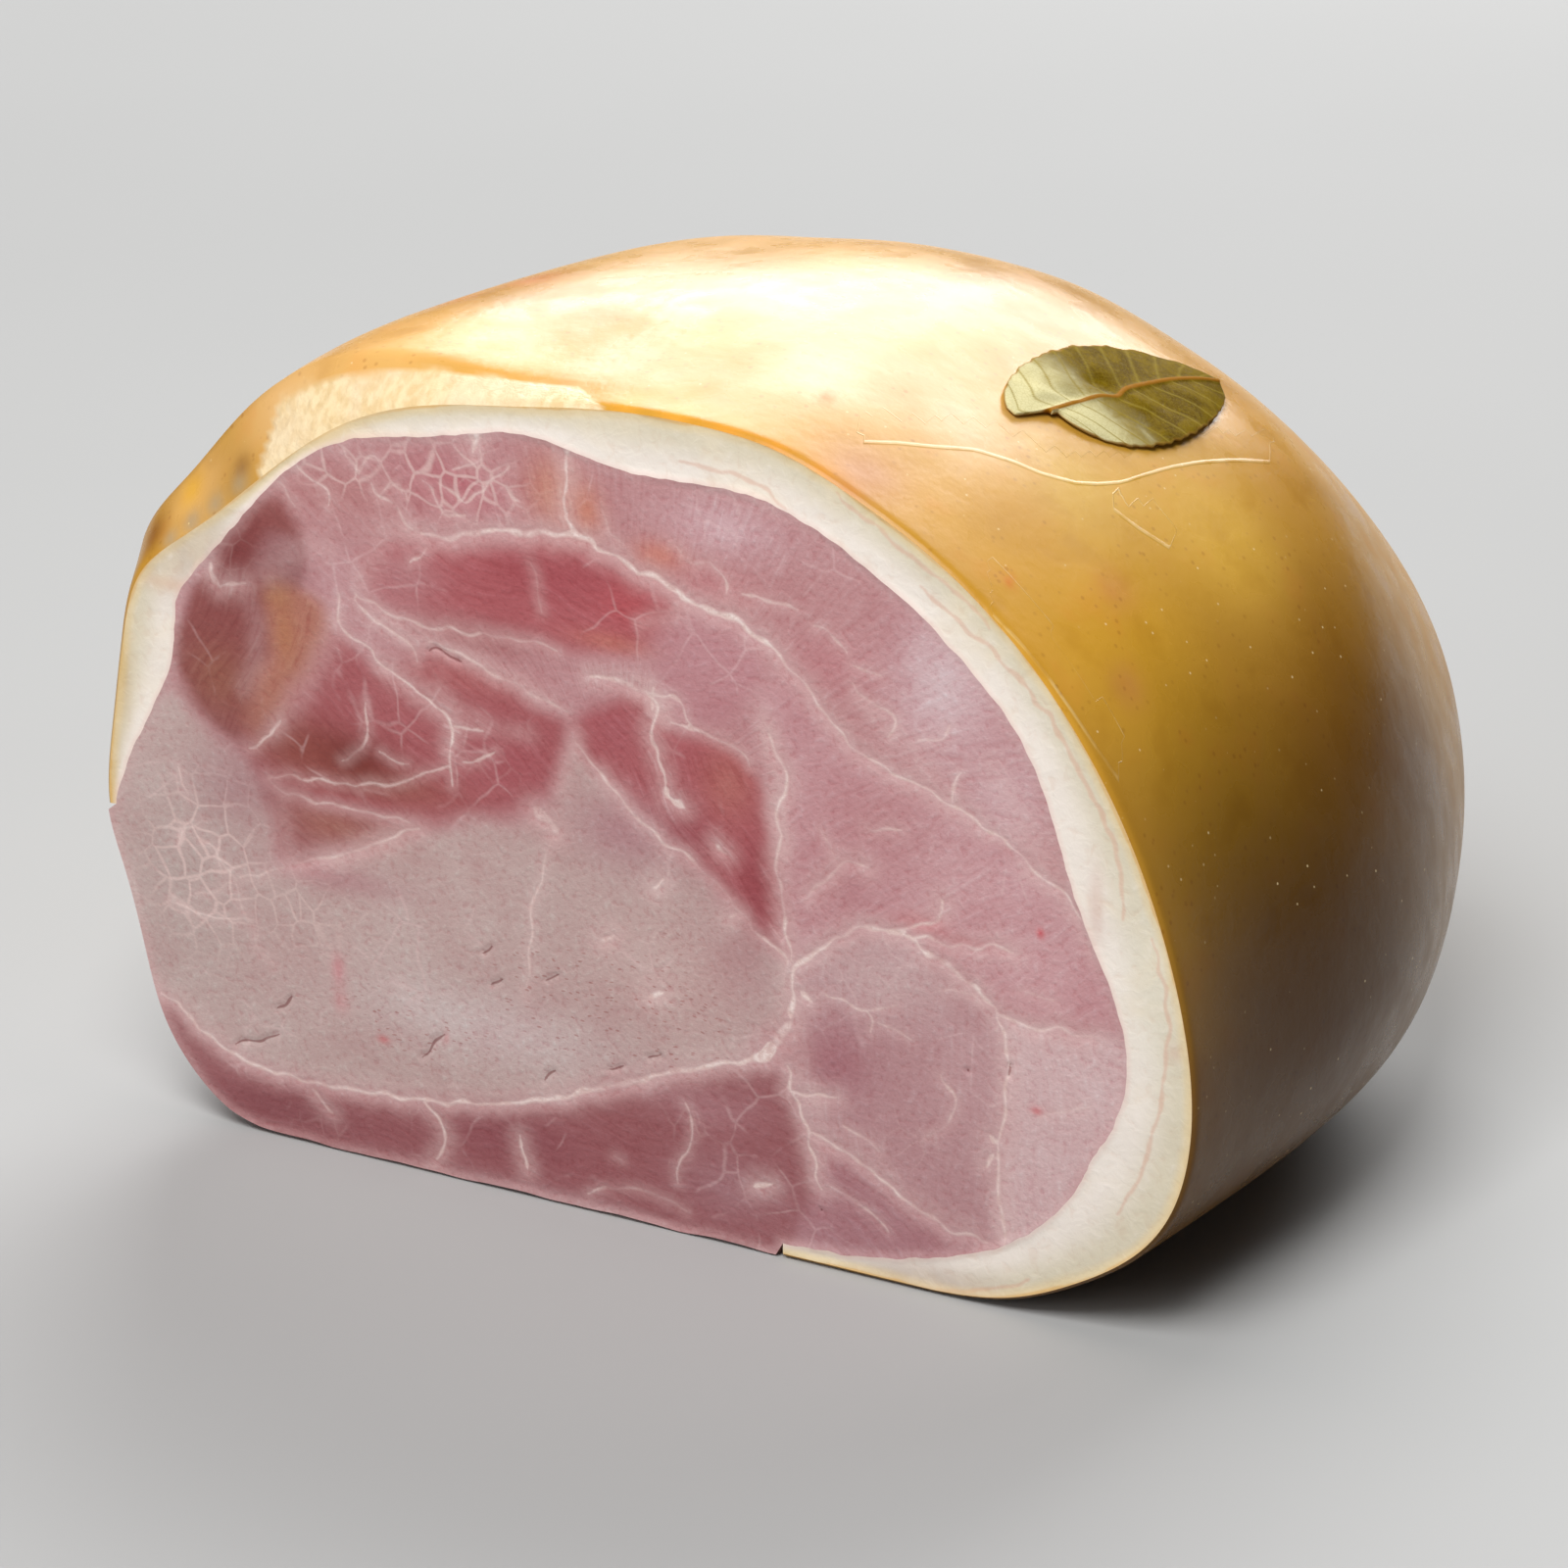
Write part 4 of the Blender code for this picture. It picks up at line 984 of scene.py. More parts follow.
def make_meat(loft, shift):
    """The lean with its cut face in fine triangles and its hidden and bare sides in coarser ones."""
    ring_count, column_count = loft.lean.shape[:2]
    lean = loft.lean + shift
    outline = lean[0][:, [0, 2]]
    lines = list(SEAMS) + even_lines(VEINS) + even_lines(SLITS)
    flat, flat_faces = triangulated(outline, scatter(outline, lines, 0.35 * MM))
    values = face_values(flat, outline, 1.0)
    tone, kind, values["streak"] = muscle_values(flat)
    for key, reach, strength in HAZES:
        tone = blended(tone, linear(PALE), strength * bell(np.maximum(values[key], 0.0), reach))
    values["tone"] = albedo(blended(tone, linear(PALE), RIM_HAZE[1] * bell(values["edge"], RIM_HAZE[0])))
    values["fibre"] = fibre_places(flat, kind)
    values["net"] = spots(flat, NETS)
    values["pores"] = spots(flat, PORES)
    face_points = np.c_[flat[:, 0], np.full(len(flat), lean[0, 0, 1]), flat[:, 1]]
    from_rim = smooth_step(values["edge"] / SWELL_START)
    swell = 0.5 + 0.5 * soft_waves(face_points, 0.022)
    face_points[:, 1] += from_rim * (pressed_in(values) + swell * SWELL)

    end = loft.end + shift - np.array([0.0, DEEP_FAT, 0.0])
    side_points = np.vstack([lean.reshape(-1, 3), end])
    count = len(side_points)
    side = {key: np.full(count, FAR) for key in ("seam", "vein", "slit", "edge")}
    for key in ("cut", "net", "pores", "streak"):
        side[key] = np.zeros(count)
    side["tone"] = linear(SIDE_TONE) * (1.0 + 0.2 * soft_waves(side_points, 0.03, 6, 9)[:, None])
    side["fibre"] = side_points * np.array([1.0, 0.2, 1.0])
    faces = sheet_faces(ring_count, column_count, lambda i, j: True)
    faces += moved_on(toward_front(flat_faces, face_points), count)
    return make_object("ham_meat", np.vstack([side_points, face_points]), faces, joined(side, values))


def make_fat(loft, shift):
    """The fat on the cut in fine triangles, the trimmed slope and the rind outside, and its inner side."""
    ring_count, column_count = loft.outer.shape[:2]
    outer, lean = loft.outer + shift, loft.lean + shift
    covered = COVERED_COLUMNS + 1
    rim = outer[0, :covered][:, [0, 2]]
    inner = lean[0, :covered][:, [0, 2]]
    outline = np.vstack([rim, inner[::-1]])
    flat, flat_faces = triangulated(outline, scatter(outline, even_lines(PINK_LINES), 0.30 * MM))
    values = face_values(flat, inner, -1.0)
    values["pink"] = field(flat, even_lines(PINK_LINES))
    gap, _ = line_distance(flat, rim)
    inward = smooth_step(gap / (gap - values["edge"] * MM + 1e-9) * 1.6 - 0.3)
    values["tone"] = albedo(patched(blended(linear(FAT_OUTER), linear(FAT_INNER), inward), flat, FAT_PATCHES))
    values["rim"] = gap / MM
    face_points = np.c_[flat[:, 0], np.full(len(flat), outer[0, 0, 1]), flat[:, 1]]
    from_rim = smooth_step(np.minimum(values["rim"], np.abs(values["edge"])) / SWELL_START)
    swell = 0.5 + 0.5 * soft_waves(face_points, 0.012, 6, 5)
    face_points[:, 1] += from_rim * swell * SWELL
    for key in ("slope", "skin", "depth"):
        values[key] = np.zeros(len(flat))

    cells = sheet_faces(ring_count, column_count, lambda i, j: j < COVERED_COLUMNS or i >= loft.bare_end)
    end = loft.end + shift
    outer_sheet = np.vstack([outer.reshape(-1, 3), end])
    inner_sheet = np.vstack([lean.reshape(-1, 3), end - np.array([0.0, DEEP_FAT, 0.0])])
    count = len(outer_sheet)
    back = moved_on([face[::-1] for face in cells], count)
    wall = [
        (b, a, count + a, count + b)
        for a, b in open_edges(cells)
        if a >= covered or b >= covered or abs(a - b) != 1
    ]
    direction = np.append(directions(loft.edges).ravel(), 90.0)
    direction = np.where(direction < -90.0, direction + 360.0, direction)
    depth = (outer_sheet[:, 1] + LENGTH / 2.0) / MM
    slope, skin = slope_and_skin(outer_sheet, direction, depth)
    mottle = 1.0 + 0.16 * soft_waves(outer_sheet, 0.045, 7, 21)
    mottle += 0.07 * soft_waves(outer_sheet, 0.014, 8, 22)
    shell = {key: np.full(2 * count, FAR) for key in ("seam", "vein", "slit", "pink", "rim")}
    shell["edge"] = np.full(2 * count, -FAR)
    shell["cut"] = np.zeros(2 * count)
    shell["tone"] = np.vstack([np.array(RIND_BASE) * mottle[:, None]] * 2)
    shell["slope"] = np.r_[slope, np.ones(count)]
    shell["skin"] = np.r_[skin, np.zeros(count)]
    shell["depth"] = np.r_[depth, depth]
    faces = cells + back + wall
    faces += moved_on(toward_front(flat_faces, face_points), 2 * count)
    points = np.vstack([outer_sheet, inner_sheet, face_points])
    return make_object("ham_fat_rind", *only_used(points, faces, joined(shell, values)))


def slope_and_skin(points, direction, depth):
    """Shares of the trimmed slope behind the upper left edge, and of the bare fat with its dry skin."""
    ragged = 0.6 * soft_waves(points, 0.010, 6, 11) + 0.7 * soft_waves(points, 0.040, 6, 12)
    width = SLOPE_SHARE * TRIM_DEPTH / MM * smooth_step((direction - SLOPE_FROM) / 8.0)
    width *= smooth_step((SLOPE_TO - direction) / 7.0)
    slope = smooth_step((width - depth + 1.3 * ragged) / 1.2 + 0.5) * (width > 0.2)
    low = smooth_step((direction - SKIN_FROM + (3.0 + 0.09 * depth) * ragged + 0.06 * depth) / 7.0)
    return slope, low * smooth_step((SKIN_DEPTH - depth + 30.0 * ragged) / 26.0)


def rind_spot(tree, pixel):
    """The place on the rind that shows at a pixel of the photograph."""
    eye, rays = sight_lines([pixel])
    return tree.ray_cast(Vector(eye), Vector(rays[0] / np.linalg.norm(rays[0])))[0]


def read_values(mesh, key, width):
    """The values of an attribute of the points, so many numbers to a point."""
    stored = np.empty(width * len(mesh.vertices), np.float32)
    kind = {1: "value", 3: "vector", 4: "color"}[width]
    mesh.attributes[key].data.foreach_get(kind, stored)
    return stored.reshape(-1, width)


def paint_rind(fat):
    """Lays the patches of the rind that the photograph shows over its tone, its own marks with painted
    highlight, sheen and shade among them, adds painted shade low on the right, and gives back its tree.
    """
    tree = BVHTree.FromObject(fat, bpy.context.evaluated_depsgraph_get())
    mesh = fat.data
    points, stored = read_values(mesh, "position", 3), read_values(mesh, "tone", 4)
    cut = read_values(mesh, "cut", 1)[:, 0]
    for colour, strength, pixel, reach in RIND_MARKS_AND_PAINTED_LIGHT:
        spot = rind_spot(tree, pixel)
        if spot is None:
            continue
        share = strength * bell(np.linalg.norm(points - np.array(spot), axis=1), reach * MM) * (cut < 0.5)
        stored[:, :3] = blended(stored[:, :3], np.array(colour), share)
    # Painted shade: the rind turns darker low down on the right.
    below = PAINTED_SHADE_TOP - points[:, 2] + 0.004 * soft_waves(points, 0.040, 7, 23)
    low = PAINTED_SHADE_STRENGTH * smooth_step(below / PAINTED_SHADE_FADE) * smooth_step((points[:, 0] - PAINTED_SHADE_LEFT) / PAINTED_SHADE_FADE)
    stored[:, :3] = blended(stored[:, :3], np.array(PAINTED_SHADE_TONE), low * (cut < 0.5))
    mesh.attributes["tone"].data.foreach_set("color", stored.ravel())
    normals = np.empty(3 * len(mesh.vertices), np.float32)
    mesh.vertices.foreach_get("normal", normals)
    towards = normals.reshape(-1, 3) @ camera_axes()[0] * (1.0 - cut)
    mesh.attributes.new("crease", "FLOAT", "POINT").data.foreach_set("value", creases(points, towards))
    return tree


def creases(points, towards):
    """How many pixels of the photograph each place in its sight is above or below the nearest crease."""
    eye, back, right, up, reach = photo_view()
    away = points - eye
    across = PHOTO_PIXELS / 2.0 - reach * (away @ right) / (away @ back)
    down = PHOTO_PIXELS / 2.0 + reach * (away @ up) / (away @ back)
    found = np.full(len(points), FAR)
    for line in CREASES:
        line = np.array(line, float)
        slant = math.cos(math.atan2(line[-1, 1] - line[0, 1], line[-1, 0] - line[0, 0]))
        gap = (down - np.interp(across, line[:, 0], line[:, 1])) * slant
        gap = np.where((across < line[0, 0]) | (across > line[-1, 0]) | (towards < 0.1), FAR, gap)
        found = np.where(np.abs(gap) < np.abs(found), gap, found)
    return found.astype(np.float32)


# The bay leaf: its ends before the centring move and its measures are in metres, but its length and the half
# width of its veins in millimetres. Places along the rib and beside it are shares of its length and width.

LEAF_STALK_END = (0.0493, 0.0461)
LEAF_TIP = (0.0564, 0.1081)
LEAF_HALF_WIDTH = 0.0111
LEAF_BLUNT_WIDTH = 0.0006
LEAF_RIGHT_START = 0.05
LEAF_LEFT_START = -0.02
LEAF_WIDEST_POWER = 0.85
LEAF_ROUND_POWER = 0.62
LEAF_SLIT = 0.13
LEAF_SLIT_SIDE = 0.45
LEAF_KINK = 0.0010
LEAF_KINK_PLACE = 0.42
LEAF_KINK_REACH = 0.05
LEAF_THICKNESS = 0.0005
LEAF_THIN_EDGE = 0.7
LEAF_LIFT = 0.0004
LEAF_LEAST_LIFT = 0.00008
LEAF_WAVE = 0.00063
LEAF_CURL = 0.0003
LEAF_VEIN = 0.00005
LEAF_VEIN_WIDTH = 0.30
LEAF_HOLLOW = 0.00007
LEAF_WAVES_ALONG = 9.0
LEAF_WAVES_ACROSS = 3.0
LEAF_RIB = 0.0004
LEAF_RIB_WIDTH = 0.0005
LEAF_ROWS = 170
LEAF_COLUMNS = 60
LEAF_LENGTH = 63.0
SIDE_VEINS = 9.5
# How far on the side veins are at the right and at the left of the rib, in parts of their spacing.
SIDE_VEIN_TURNS = (0.15, 0.5)
DROP_HEIGHT = 0.30
# Dents and swellings of the leaf: share of the length and of the width, height in metres, and both reaches.
LEAF_DENTS = (
    (0.43, -0.26, -0.0009, 0.035, 0.16), (0.52, -0.45, 0.0004, 0.05, 0.25), (0.30, -0.42, 0.0005, 0.05, 0.22),
    (0.17, -0.40, 0.0006, 0.04, 0.24), (0.23, -0.14, -0.0004, 0.03, 0.12), (0.50, 0.28, 0.0006, 0.035, 0.20),
    (0.60, 0.50, -0.0003, 0.05, 0.25), (0.74, 0.35, 0.0003, 0.05, 0.30), (0.33, 0.45, -0.0003, 0.05, 0.25),
)


def leaf_half_width(along, place):
    """Width of the blade beside its rib, on the right where place is positive."""
    start = LEAF_RIGHT_START if place > 0 else LEAF_LEFT_START
    share = max(along - start, 0.0) / (1.0 - start)
    bulge = math.sin(math.pi * share**LEAF_WIDEST_POWER) ** LEAF_ROUND_POWER
    crinkle = 0.98 + 0.010 * math.sin(71.0 * along + 2.0 * place) + 0.010 * math.sin(127.0 * along)
    return LEAF_HALF_WIDTH * bulge * crinkle + LEAF_BLUNT_WIDTH


def leaf_relief(along, place, side):
    """Values of the materials at a place of the blade, its height over the rind and its thickness there."""
    ridge = math.exp(-((side / LEAF_RIB_WIDTH) ** 2))
    turn = SIDE_VEIN_TURNS[0] if place > 0 else SIDE_VEIN_TURNS[1]
    branch = SIDE_VEINS * (along - 0.20 * abs(place) + 0.05 * place * place) + turn
    gap = abs(branch - round(branch)) / SIDE_VEINS * LEAF_LENGTH
    vein = math.exp(-((gap / LEAF_VEIN_WIDTH) ** 2)) * (1.0 - ridge)
    hollow = math.cos(2.0 * math.pi * branch) * abs(place) * (1.0 - place**4)
    curl = abs(place) ** 8 * (0.5 + 0.5 * math.sin(46.0 * along + 3.0 * place))
    thickness = LEAF_THICKNESS * (1.0 - LEAF_THIN_EDGE * place**8) + LEAF_RIB * ridge
    thickness += LEAF_VEIN * vein - LEAF_HOLLOW * hollow + LEAF_CURL * curl
    wave = 0.5 + 0.5 * math.sin(LEAF_WAVES_ALONG * along + LEAF_WAVES_ACROSS * place) * abs(place)
    dent = sum(
        height * math.exp(-(((along - a) / long) ** 2) - ((place - b) / wide) ** 2)
        for a, b, height, long, wide in LEAF_DENTS
    )
    lift = max(LEAF_LIFT + LEAF_WAVE * wave + dent, LEAF_LEAST_LIFT)
    return (ridge, vein, abs(place), along), lift, thickness


def make_leaf(tree, shift):
    """The leaf, laid on the rind, with its rib, curved side veins and crinkled edge."""
    start = np.array(LEAF_STALK_END) + shift[:2]
    rib_line = np.array(LEAF_TIP) - np.array(LEAF_STALK_END)
    across = np.array([rib_line[1], -rib_line[0]]) / np.linalg.norm(rib_line)
    low, high, rows = [], [], []
    for along in np.linspace(0.0, 1.0, LEAF_ROWS + 1):
        for place in np.linspace(-1.0, 1.0, LEAF_COLUMNS + 1):
            side = place * leaf_half_width(along, place)
            pushed = LEAF_SLIT * (1.0 - along) ** 3 * (1.0 - smooth_step(-place / LEAF_SLIT_SIDE))
            kink = LEAF_KINK * bell(along - LEAF_KINK_PLACE, LEAF_KINK_REACH) * (1.0 - abs(place))
            x, y = start + rib_line * (along + pushed) + across * (side + kink)
            hit, normal, _, _ = tree.ray_cast(Vector((x, y, DROP_HEIGHT)), Vector((0.0, 0.0, -1.0)))
            values, lift, thickness = leaf_relief(along, place, side)
            low.append(hit + normal * lift)
            high.append(low[-1] + normal * thickness)
            rows.append(values)
    count, wide = len(low), LEAF_COLUMNS + 1
    corners = [i * wide + j for i in range(LEAF_ROWS) for j in range(LEAF_COLUMNS)]
    faces = [(a, a + 1, a + wide + 1, a + wide) for a in corners]
    wall = [(b, a, count + a, count + b) for a, b in open_edges(faces)]
    back = moved_on([face[::-1] for face in faces], count)
    doubled = dict(zip(("rib", "vein", "border", "along"), np.array(rows + rows).T))
    return make_object("bay_leaf_blade", np.vstack([high, low]), faces + back + wall, doubled)


# Materials

class Look:
    """A material and short ways to add its nodes."""

    def __init__(self, name):
        self.material = bpy.data.materials.new(name)
        self.material.use_nodes = True
        self.tree = self.material.node_tree
        self.tree.nodes.clear()
        self.shader = self.tree.nodes.new("ShaderNodeBsdfPrincipled")
        output = self.tree.nodes.new("ShaderNodeOutputMaterial")
        self.tree.links.new(self.shader.outputs[0], output.inputs["Surface"])
        self.place = self.tree.nodes.new("ShaderNodeTexCoord").outputs["Object"]

    def put(self, socket, value):
        if isinstance(value, bpy.types.NodeSocket):
            self.tree.links.new(value, socket)
        elif value is not None:
            socket.default_value = value

    def value(self, name, output="Fac"):
        node = self.tree.nodes.new("ShaderNodeAttribute")
        node.attribute_name = name
        return node.outputs[output]

    def noise(self, scale, detail=2.0, roughness=0.55, distortion=0.0, vector=None, output="Fac"):
        node = self.tree.nodes.new("ShaderNodeTexNoise")
        self.put(node.inputs["Vector"], vector or self.place)
        node.inputs["Scale"].default_value = scale
        node.inputs["Detail"].default_value = detail
        node.inputs["Roughness"].default_value = roughness
        node.inputs["Distortion"].default_value = distortion
        return node.outputs[output]

    def cells(self, scale, feature="F1", vector=None):
        node = self.tree.nodes.new("ShaderNodeTexVoronoi")
        node.feature = feature
        self.put(node.inputs["Vector"], vector or self.place)
        node.inputs["Scale"].default_value = scale
        return node.outputs["Distance"]

    def stretched(self, scales, turn=(0.0, 0.0, 0.0), vector=None):
        node = self.tree.nodes.new("ShaderNodeMapping")
        self.put(node.inputs["Vector"], vector or self.place)
        node.inputs["Rotation"].default_value = [math.radians(angle) for angle in turn]
        node.inputs["Scale"].default_value = scales
        return node.outputs[0]

    def warped(self, amount, scale):
        """The place moved about by noise, so that what is laid out with it gets uneven."""
        centred = self.tree.nodes.new("ShaderNodeVectorMath")
        centred.operation = "SUBTRACT"
        self.put(centred.inputs[0], self.noise(scale, 1.0, output="Color"))
        centred.inputs[1].default_value = (0.5, 0.5, 0.5)
        moved = self.tree.nodes.new("ShaderNodeVectorMath")
        moved.operation = "MULTIPLY_ADD"
        self.put(moved.inputs[0], centred.outputs[0])
        moved.inputs[1].default_value = (amount, amount, amount)
        self.put(moved.inputs[2], self.place)
        return moved.outputs[0]

    def calc(self, operation, a, b=None, clamp=False):
        node = self.tree.nodes.new("ShaderNodeMath")
        node.operation = operation
        node.use_clamp = clamp
        self.put(node.inputs[0], a)
        self.put(node.inputs[1], b)
        return node.outputs[0]

    def product(self, a, b):
        return self.calc("MULTIPLY", a, b)

    def total(self, *parts):
        """The sum of the values, each times its weight."""
        result = None
        for value, weight in parts:
            part = self.product(value, weight)
            result = part if result is None else self.calc("ADD", result, part)
        return result

    def ramp(self, value, low, high, start=0.0, end=1.0):
        """From start, where the value is at low, smoothly to end, where it is at high."""
        node = self.tree.nodes.new("ShaderNodeMapRange")
        node.interpolation_type = "SMOOTHSTEP"
        self.put(node.inputs["Value"], value)
        for key, amount in (("From Min", low), ("From Max", high), ("To Min", start), ("To Max", end)):
            node.inputs[key].default_value = amount
        return node.outputs["Result"]

    def mix(self, share, a, b, blend="MIX"):
        node = self.tree.nodes.new("ShaderNodeMix")
        node.data_type = "RGBA"
        node.blend_type = blend
        self.put(node.inputs["Factor"], share)
        for socket, side in ((node.inputs[6], a), (node.inputs[7], b)):
            self.put(socket, side if isinstance(side, bpy.types.NodeSocket) else (*side, 1.0))
        return node.outputs[2]

    def times(self, share, colour, factors):
        return self.mix(share, colour, factors, "MULTIPLY")

    def bump(self, height, strength, distance):
        node = self.tree.nodes.new("ShaderNodeBump")
        node.inputs["Strength"].default_value = strength
        node.inputs["Distance"].default_value = distance
        self.put(node.inputs["Height"], height)
        self.put(self.shader.inputs["Normal"], node.outputs[0])

    def set(self, **values):
        for key, value in values.items():
            self.put(self.shader.inputs[key.replace("_", " ")], value)


def screen(*colour):
    """A colour of the screen, 0 to 255, as light for a node."""
    return tuple(float(c) for c in linear(colour))


def lean_look():
    look = Look("cooked_lean")
    cut, streak, net = look.value("cut"), look.value("streak"), look.value("net")
    broad = look.noise(60.0, 3.0, 0.6, 0.5)
    grain = look.noise(800.0, 3.0, 0.60)
    fibre = look.noise(900.0, 2.0, 0.55, 0.0, look.value("fibre", "Vector"))
    tone = look.value("tone", "Color")
    tone = look.times(look.ramp(broad, 0.52, 0.26, 0.0, 0.45), tone, (0.88, 0.72, 0.74))
    tone = look.times(look.ramp(broad, 0.50, 0.74, 0.0, 0.55), tone, (1.08, 1.18, 1.18))
    dark_streak = look.product(look.ramp(fibre, 0.50, 0.32, 0.0, 0.60), streak)
    tone = look.times(dark_streak, tone, (0.84, 0.64, 0.66))
    tone = look.times(look.product(look.ramp(fibre, 0.54, 0.74), streak), tone, (1.10, 1.28, 1.28))
    tone = look.times(look.ramp(grain, 0.48, 0.30, 0.0, 0.50), tone, (0.84, 0.62, 0.64))
    tone = look.times(look.ramp(grain, 0.54, 0.74, 0.0, 0.80), tone, (1.08, 1.22, 1.22))
    moved = look.warped(0.0024, 150.0)
    web = look.cells(190.0, "DISTANCE_TO_EDGE", moved)
    web_line = look.calc("SUBTRACT", look.total((net, 0.030), (broad, 0.07)), web)
    web = look.product(look.ramp(web_line, -0.03, 0.05), look.ramp(net, 0.12, 0.9, 0.0, 0.52))
    tone = look.mix(web, tone, screen(222, 194, 188))
    thread = look.ramp(look.cells(105.0, "DISTANCE_TO_EDGE", moved), 0.045, 0.0)
    thread = look.product(thread, look.ramp(broad, 0.50, 0.66, 0.0, 0.24))
    tone = look.mix(thread, tone, screen(220, 190, 188))
    holes = look.cells(420.0, "F1", look.stretched((1.0, 1.0, 2.6), (0.0, 32.0, 0.0), moved))
    pore = look.product(look.ramp(holes, 0.24, 0.13), look.ramp(look.value("pores"), 0.15, 0.7))
    tone = look.times(look.product(pore, 0.75), tone, (0.72, 0.46, 0.45))

    uneven = look.total((look.calc("SUBTRACT", grain, 0.5), 1.3))
    seam = look.ramp(look.calc("ADD", look.value("seam"), uneven), 0.34, -0.45, 0.0, 0.95)
    seam = look.product(seam, look.ramp(broad, 0.34, 0.54, 0.35, 1.0))
    vein = look.ramp(look.calc("ADD", look.value("vein"), uneven), 0.34, -0.34, 0.0, 0.70)
    vein = look.product(vein, look.ramp(broad, 0.38, 0.58, 0.20, 1.0))
    fat = look.calc("MAXIMUM", seam, vein)
    fat_tone = look.mix(look.ramp(grain, 0.35, 0.65), screen(212, 182, 176), screen(234, 216, 210))
    tone = look.mix(fat, tone, fat_tone)
    slit = look.ramp(look.value("slit"), 0.16, -0.08, 0.0, 0.75)
    tone = look.times(slit, tone, (0.42, 0.20, 0.20))
    side_share = look.ramp(broad, 0.38, 0.76, 0.0, 0.6)
    side = look.mix(side_share, look.value("tone", "Color"), screen(184, 142, 124))
    look.set(Base_Color=look.mix(cut, side, tone))
    look.set(Roughness=look.ramp(grain, 0.30, 0.75, 0.36, 0.52), Specular_IOR_Level=0.42)
    look.bump(look.total((grain, 0.60), (look.product(fibre, streak), 0.30)), 0.50, 0.0008)
    return look.material


def fat_look():
    look = Look("fat_and_rind")
    cut, slope, skin = look.value("cut"), look.value("slope"), look.value("skin")
    grain = look.noise(420.0, 3.0, 0.58, 0.4)
    broad = look.noise(60.0, 3.0, 0.55, 0.5)
    patch = look.noise(28.0, 3.0, 0.5, 0.3)
    tone = look.value("tone", "Color")
    fat = look.mix(look.ramp(broad, 0.46, 0.72, 0.0, 0.40), tone, screen(232, 216, 188))
    fat = look.mix(look.ramp(grain, 0.54, 0.76, 0.0, 0.20), fat, screen(244, 236, 230))
    fat = look.times(look.ramp(grain, 0.48, 0.28, 0.0, 0.40), fat, (0.90, 0.80, 0.74))
    pink = look.total((look.value("pink"), 1.0), (grain, 0.7))
    fat = look.mix(look.ramp(pink, 0.80, 0.20, 0.0, 0.45), fat, screen(212, 164, 140))
    fat = look.mix(look.ramp(look.value("edge"), -1.3, 0.0, 0.0, 0.35), fat, screen(224, 186, 178))
    rim = look.total((look.value("rim"), 1.0), (look.calc("SUBTRACT", broad, 0.5), 2.4))
    fat = look.mix(look.ramp(rim, 2.4, 0.4, 0.0, 0.40), fat, screen(232, 200, 132))
    skin_edge = look.product(look.ramp(rim, 0.6, 0.0, 0.0, 0.60), look.ramp(patch, 0.35, 0.6, 0.3, 1.0))
    fat = look.mix(skin_edge, fat, screen(216, 164, 80))

    ridge = look.noise(500.0, 2.0, 0.5, 0.0, look.stretched((1.0, 0.12, 1.0), (0.0, 0.0, 25.0)))
    slope_fat = look.mix(look.ramp(ridge, 0.34, 0.66), screen(226, 196, 146), screen(240, 216, 172))
    slope_fat = look.mix(look.ramp(broad, 0.40, 0.64, 0.0, 0.5), slope_fat, screen(236, 214, 182))
    dry = look.mix(look.ramp(broad, 0.30, 0.70), screen(206, 176, 120), screen(184, 138, 76))
    dry = look.mix(look.ramp(grain, 0.46, 0.76, 0.0, 0.35), dry, screen(220, 196, 150))

    mid = look.noise(110.0, 3.0, 0.5, 0.1)
    rind = look.times(look.ramp(patch, 0.50, 0.30, 0.0, 0.35), tone, (0.72, 0.60, 0.42))
    rind = look.times(look.ramp(patch, 0.50, 0.72, 0.0, 0.35), rind, (1.25, 1.32, 1.6))
    rind = look.times(look.ramp(mid, 0.54, 0.74, 0.0, 0.30), rind, (1.05, 0.84, 0.74))
    rind = look.times(look.ramp(mid, 0.46, 0.26, 0.0, 0.28), rind, (0.78, 0.70, 0.60))
    pore = look.product(look.ramp(look.cells(430.0), 0.26, 0.10), look.ramp(mid, 0.44, 0.58))
    rind = look.times(look.product(pore, 0.40), rind, (0.60, 0.45, 0.4))
    speck = look.ramp(look.cells(270.0), 0.080, 0.05)
    speck = look.product(speck, look.ramp(broad, 0.40, 0.56, 0.15, 0.65))
    rind = look.mix(speck, rind, screen(240, 216, 164))
    crease = look.ramp(look.calc("ABSOLUTE", look.value("crease")), 2.4, 0.6)
    pale_crease = look.product(crease, look.ramp(mid, 0.40, 0.60, 0.06, 0.36))
    rind = look.mix(pale_crease, rind, screen(244, 222, 170))
    rind = look.times(look.ramp(look.value("depth"), 4.5, 1.5, 0.0, 0.5), rind, (0.94, 0.90, 0.66))

    surface = look.mix(skin, rind, dry)
    surface = look.mix(slope, surface, slope_fat)
    look.set(Base_Color=look.mix(cut, surface, fat))

    bare = look.calc("MAXIMUM", look.calc("MAXIMUM", slope, skin), cut, clamp=True)
    smooth = look.calc("SUBTRACT", 1.0, bare)
    rind_rough, bare_rough = look.ramp(mid, 0.3, 0.7, 0.24, 0.34), look.ramp(grain, 0.3, 0.7, 0.42, 0.56)
    rough = look.total((rind_rough, smooth), (bare_rough, bare))
    look.set(Roughness=rough, Specular_IOR_Level=0.22)
    fine = look.noise(260.0, 3.0, 0.6, 0.0)
    rind_height = look.total((mid, 0.30), (fine, 0.20), (crease, 0.20))
    fat_height = look.total((grain, 0.45), (look.product(grain, slope), 0.8))
    look.bump(look.total((rind_height, smooth), (fat_height, bare)), 0.45, 0.0009)
    return look.material


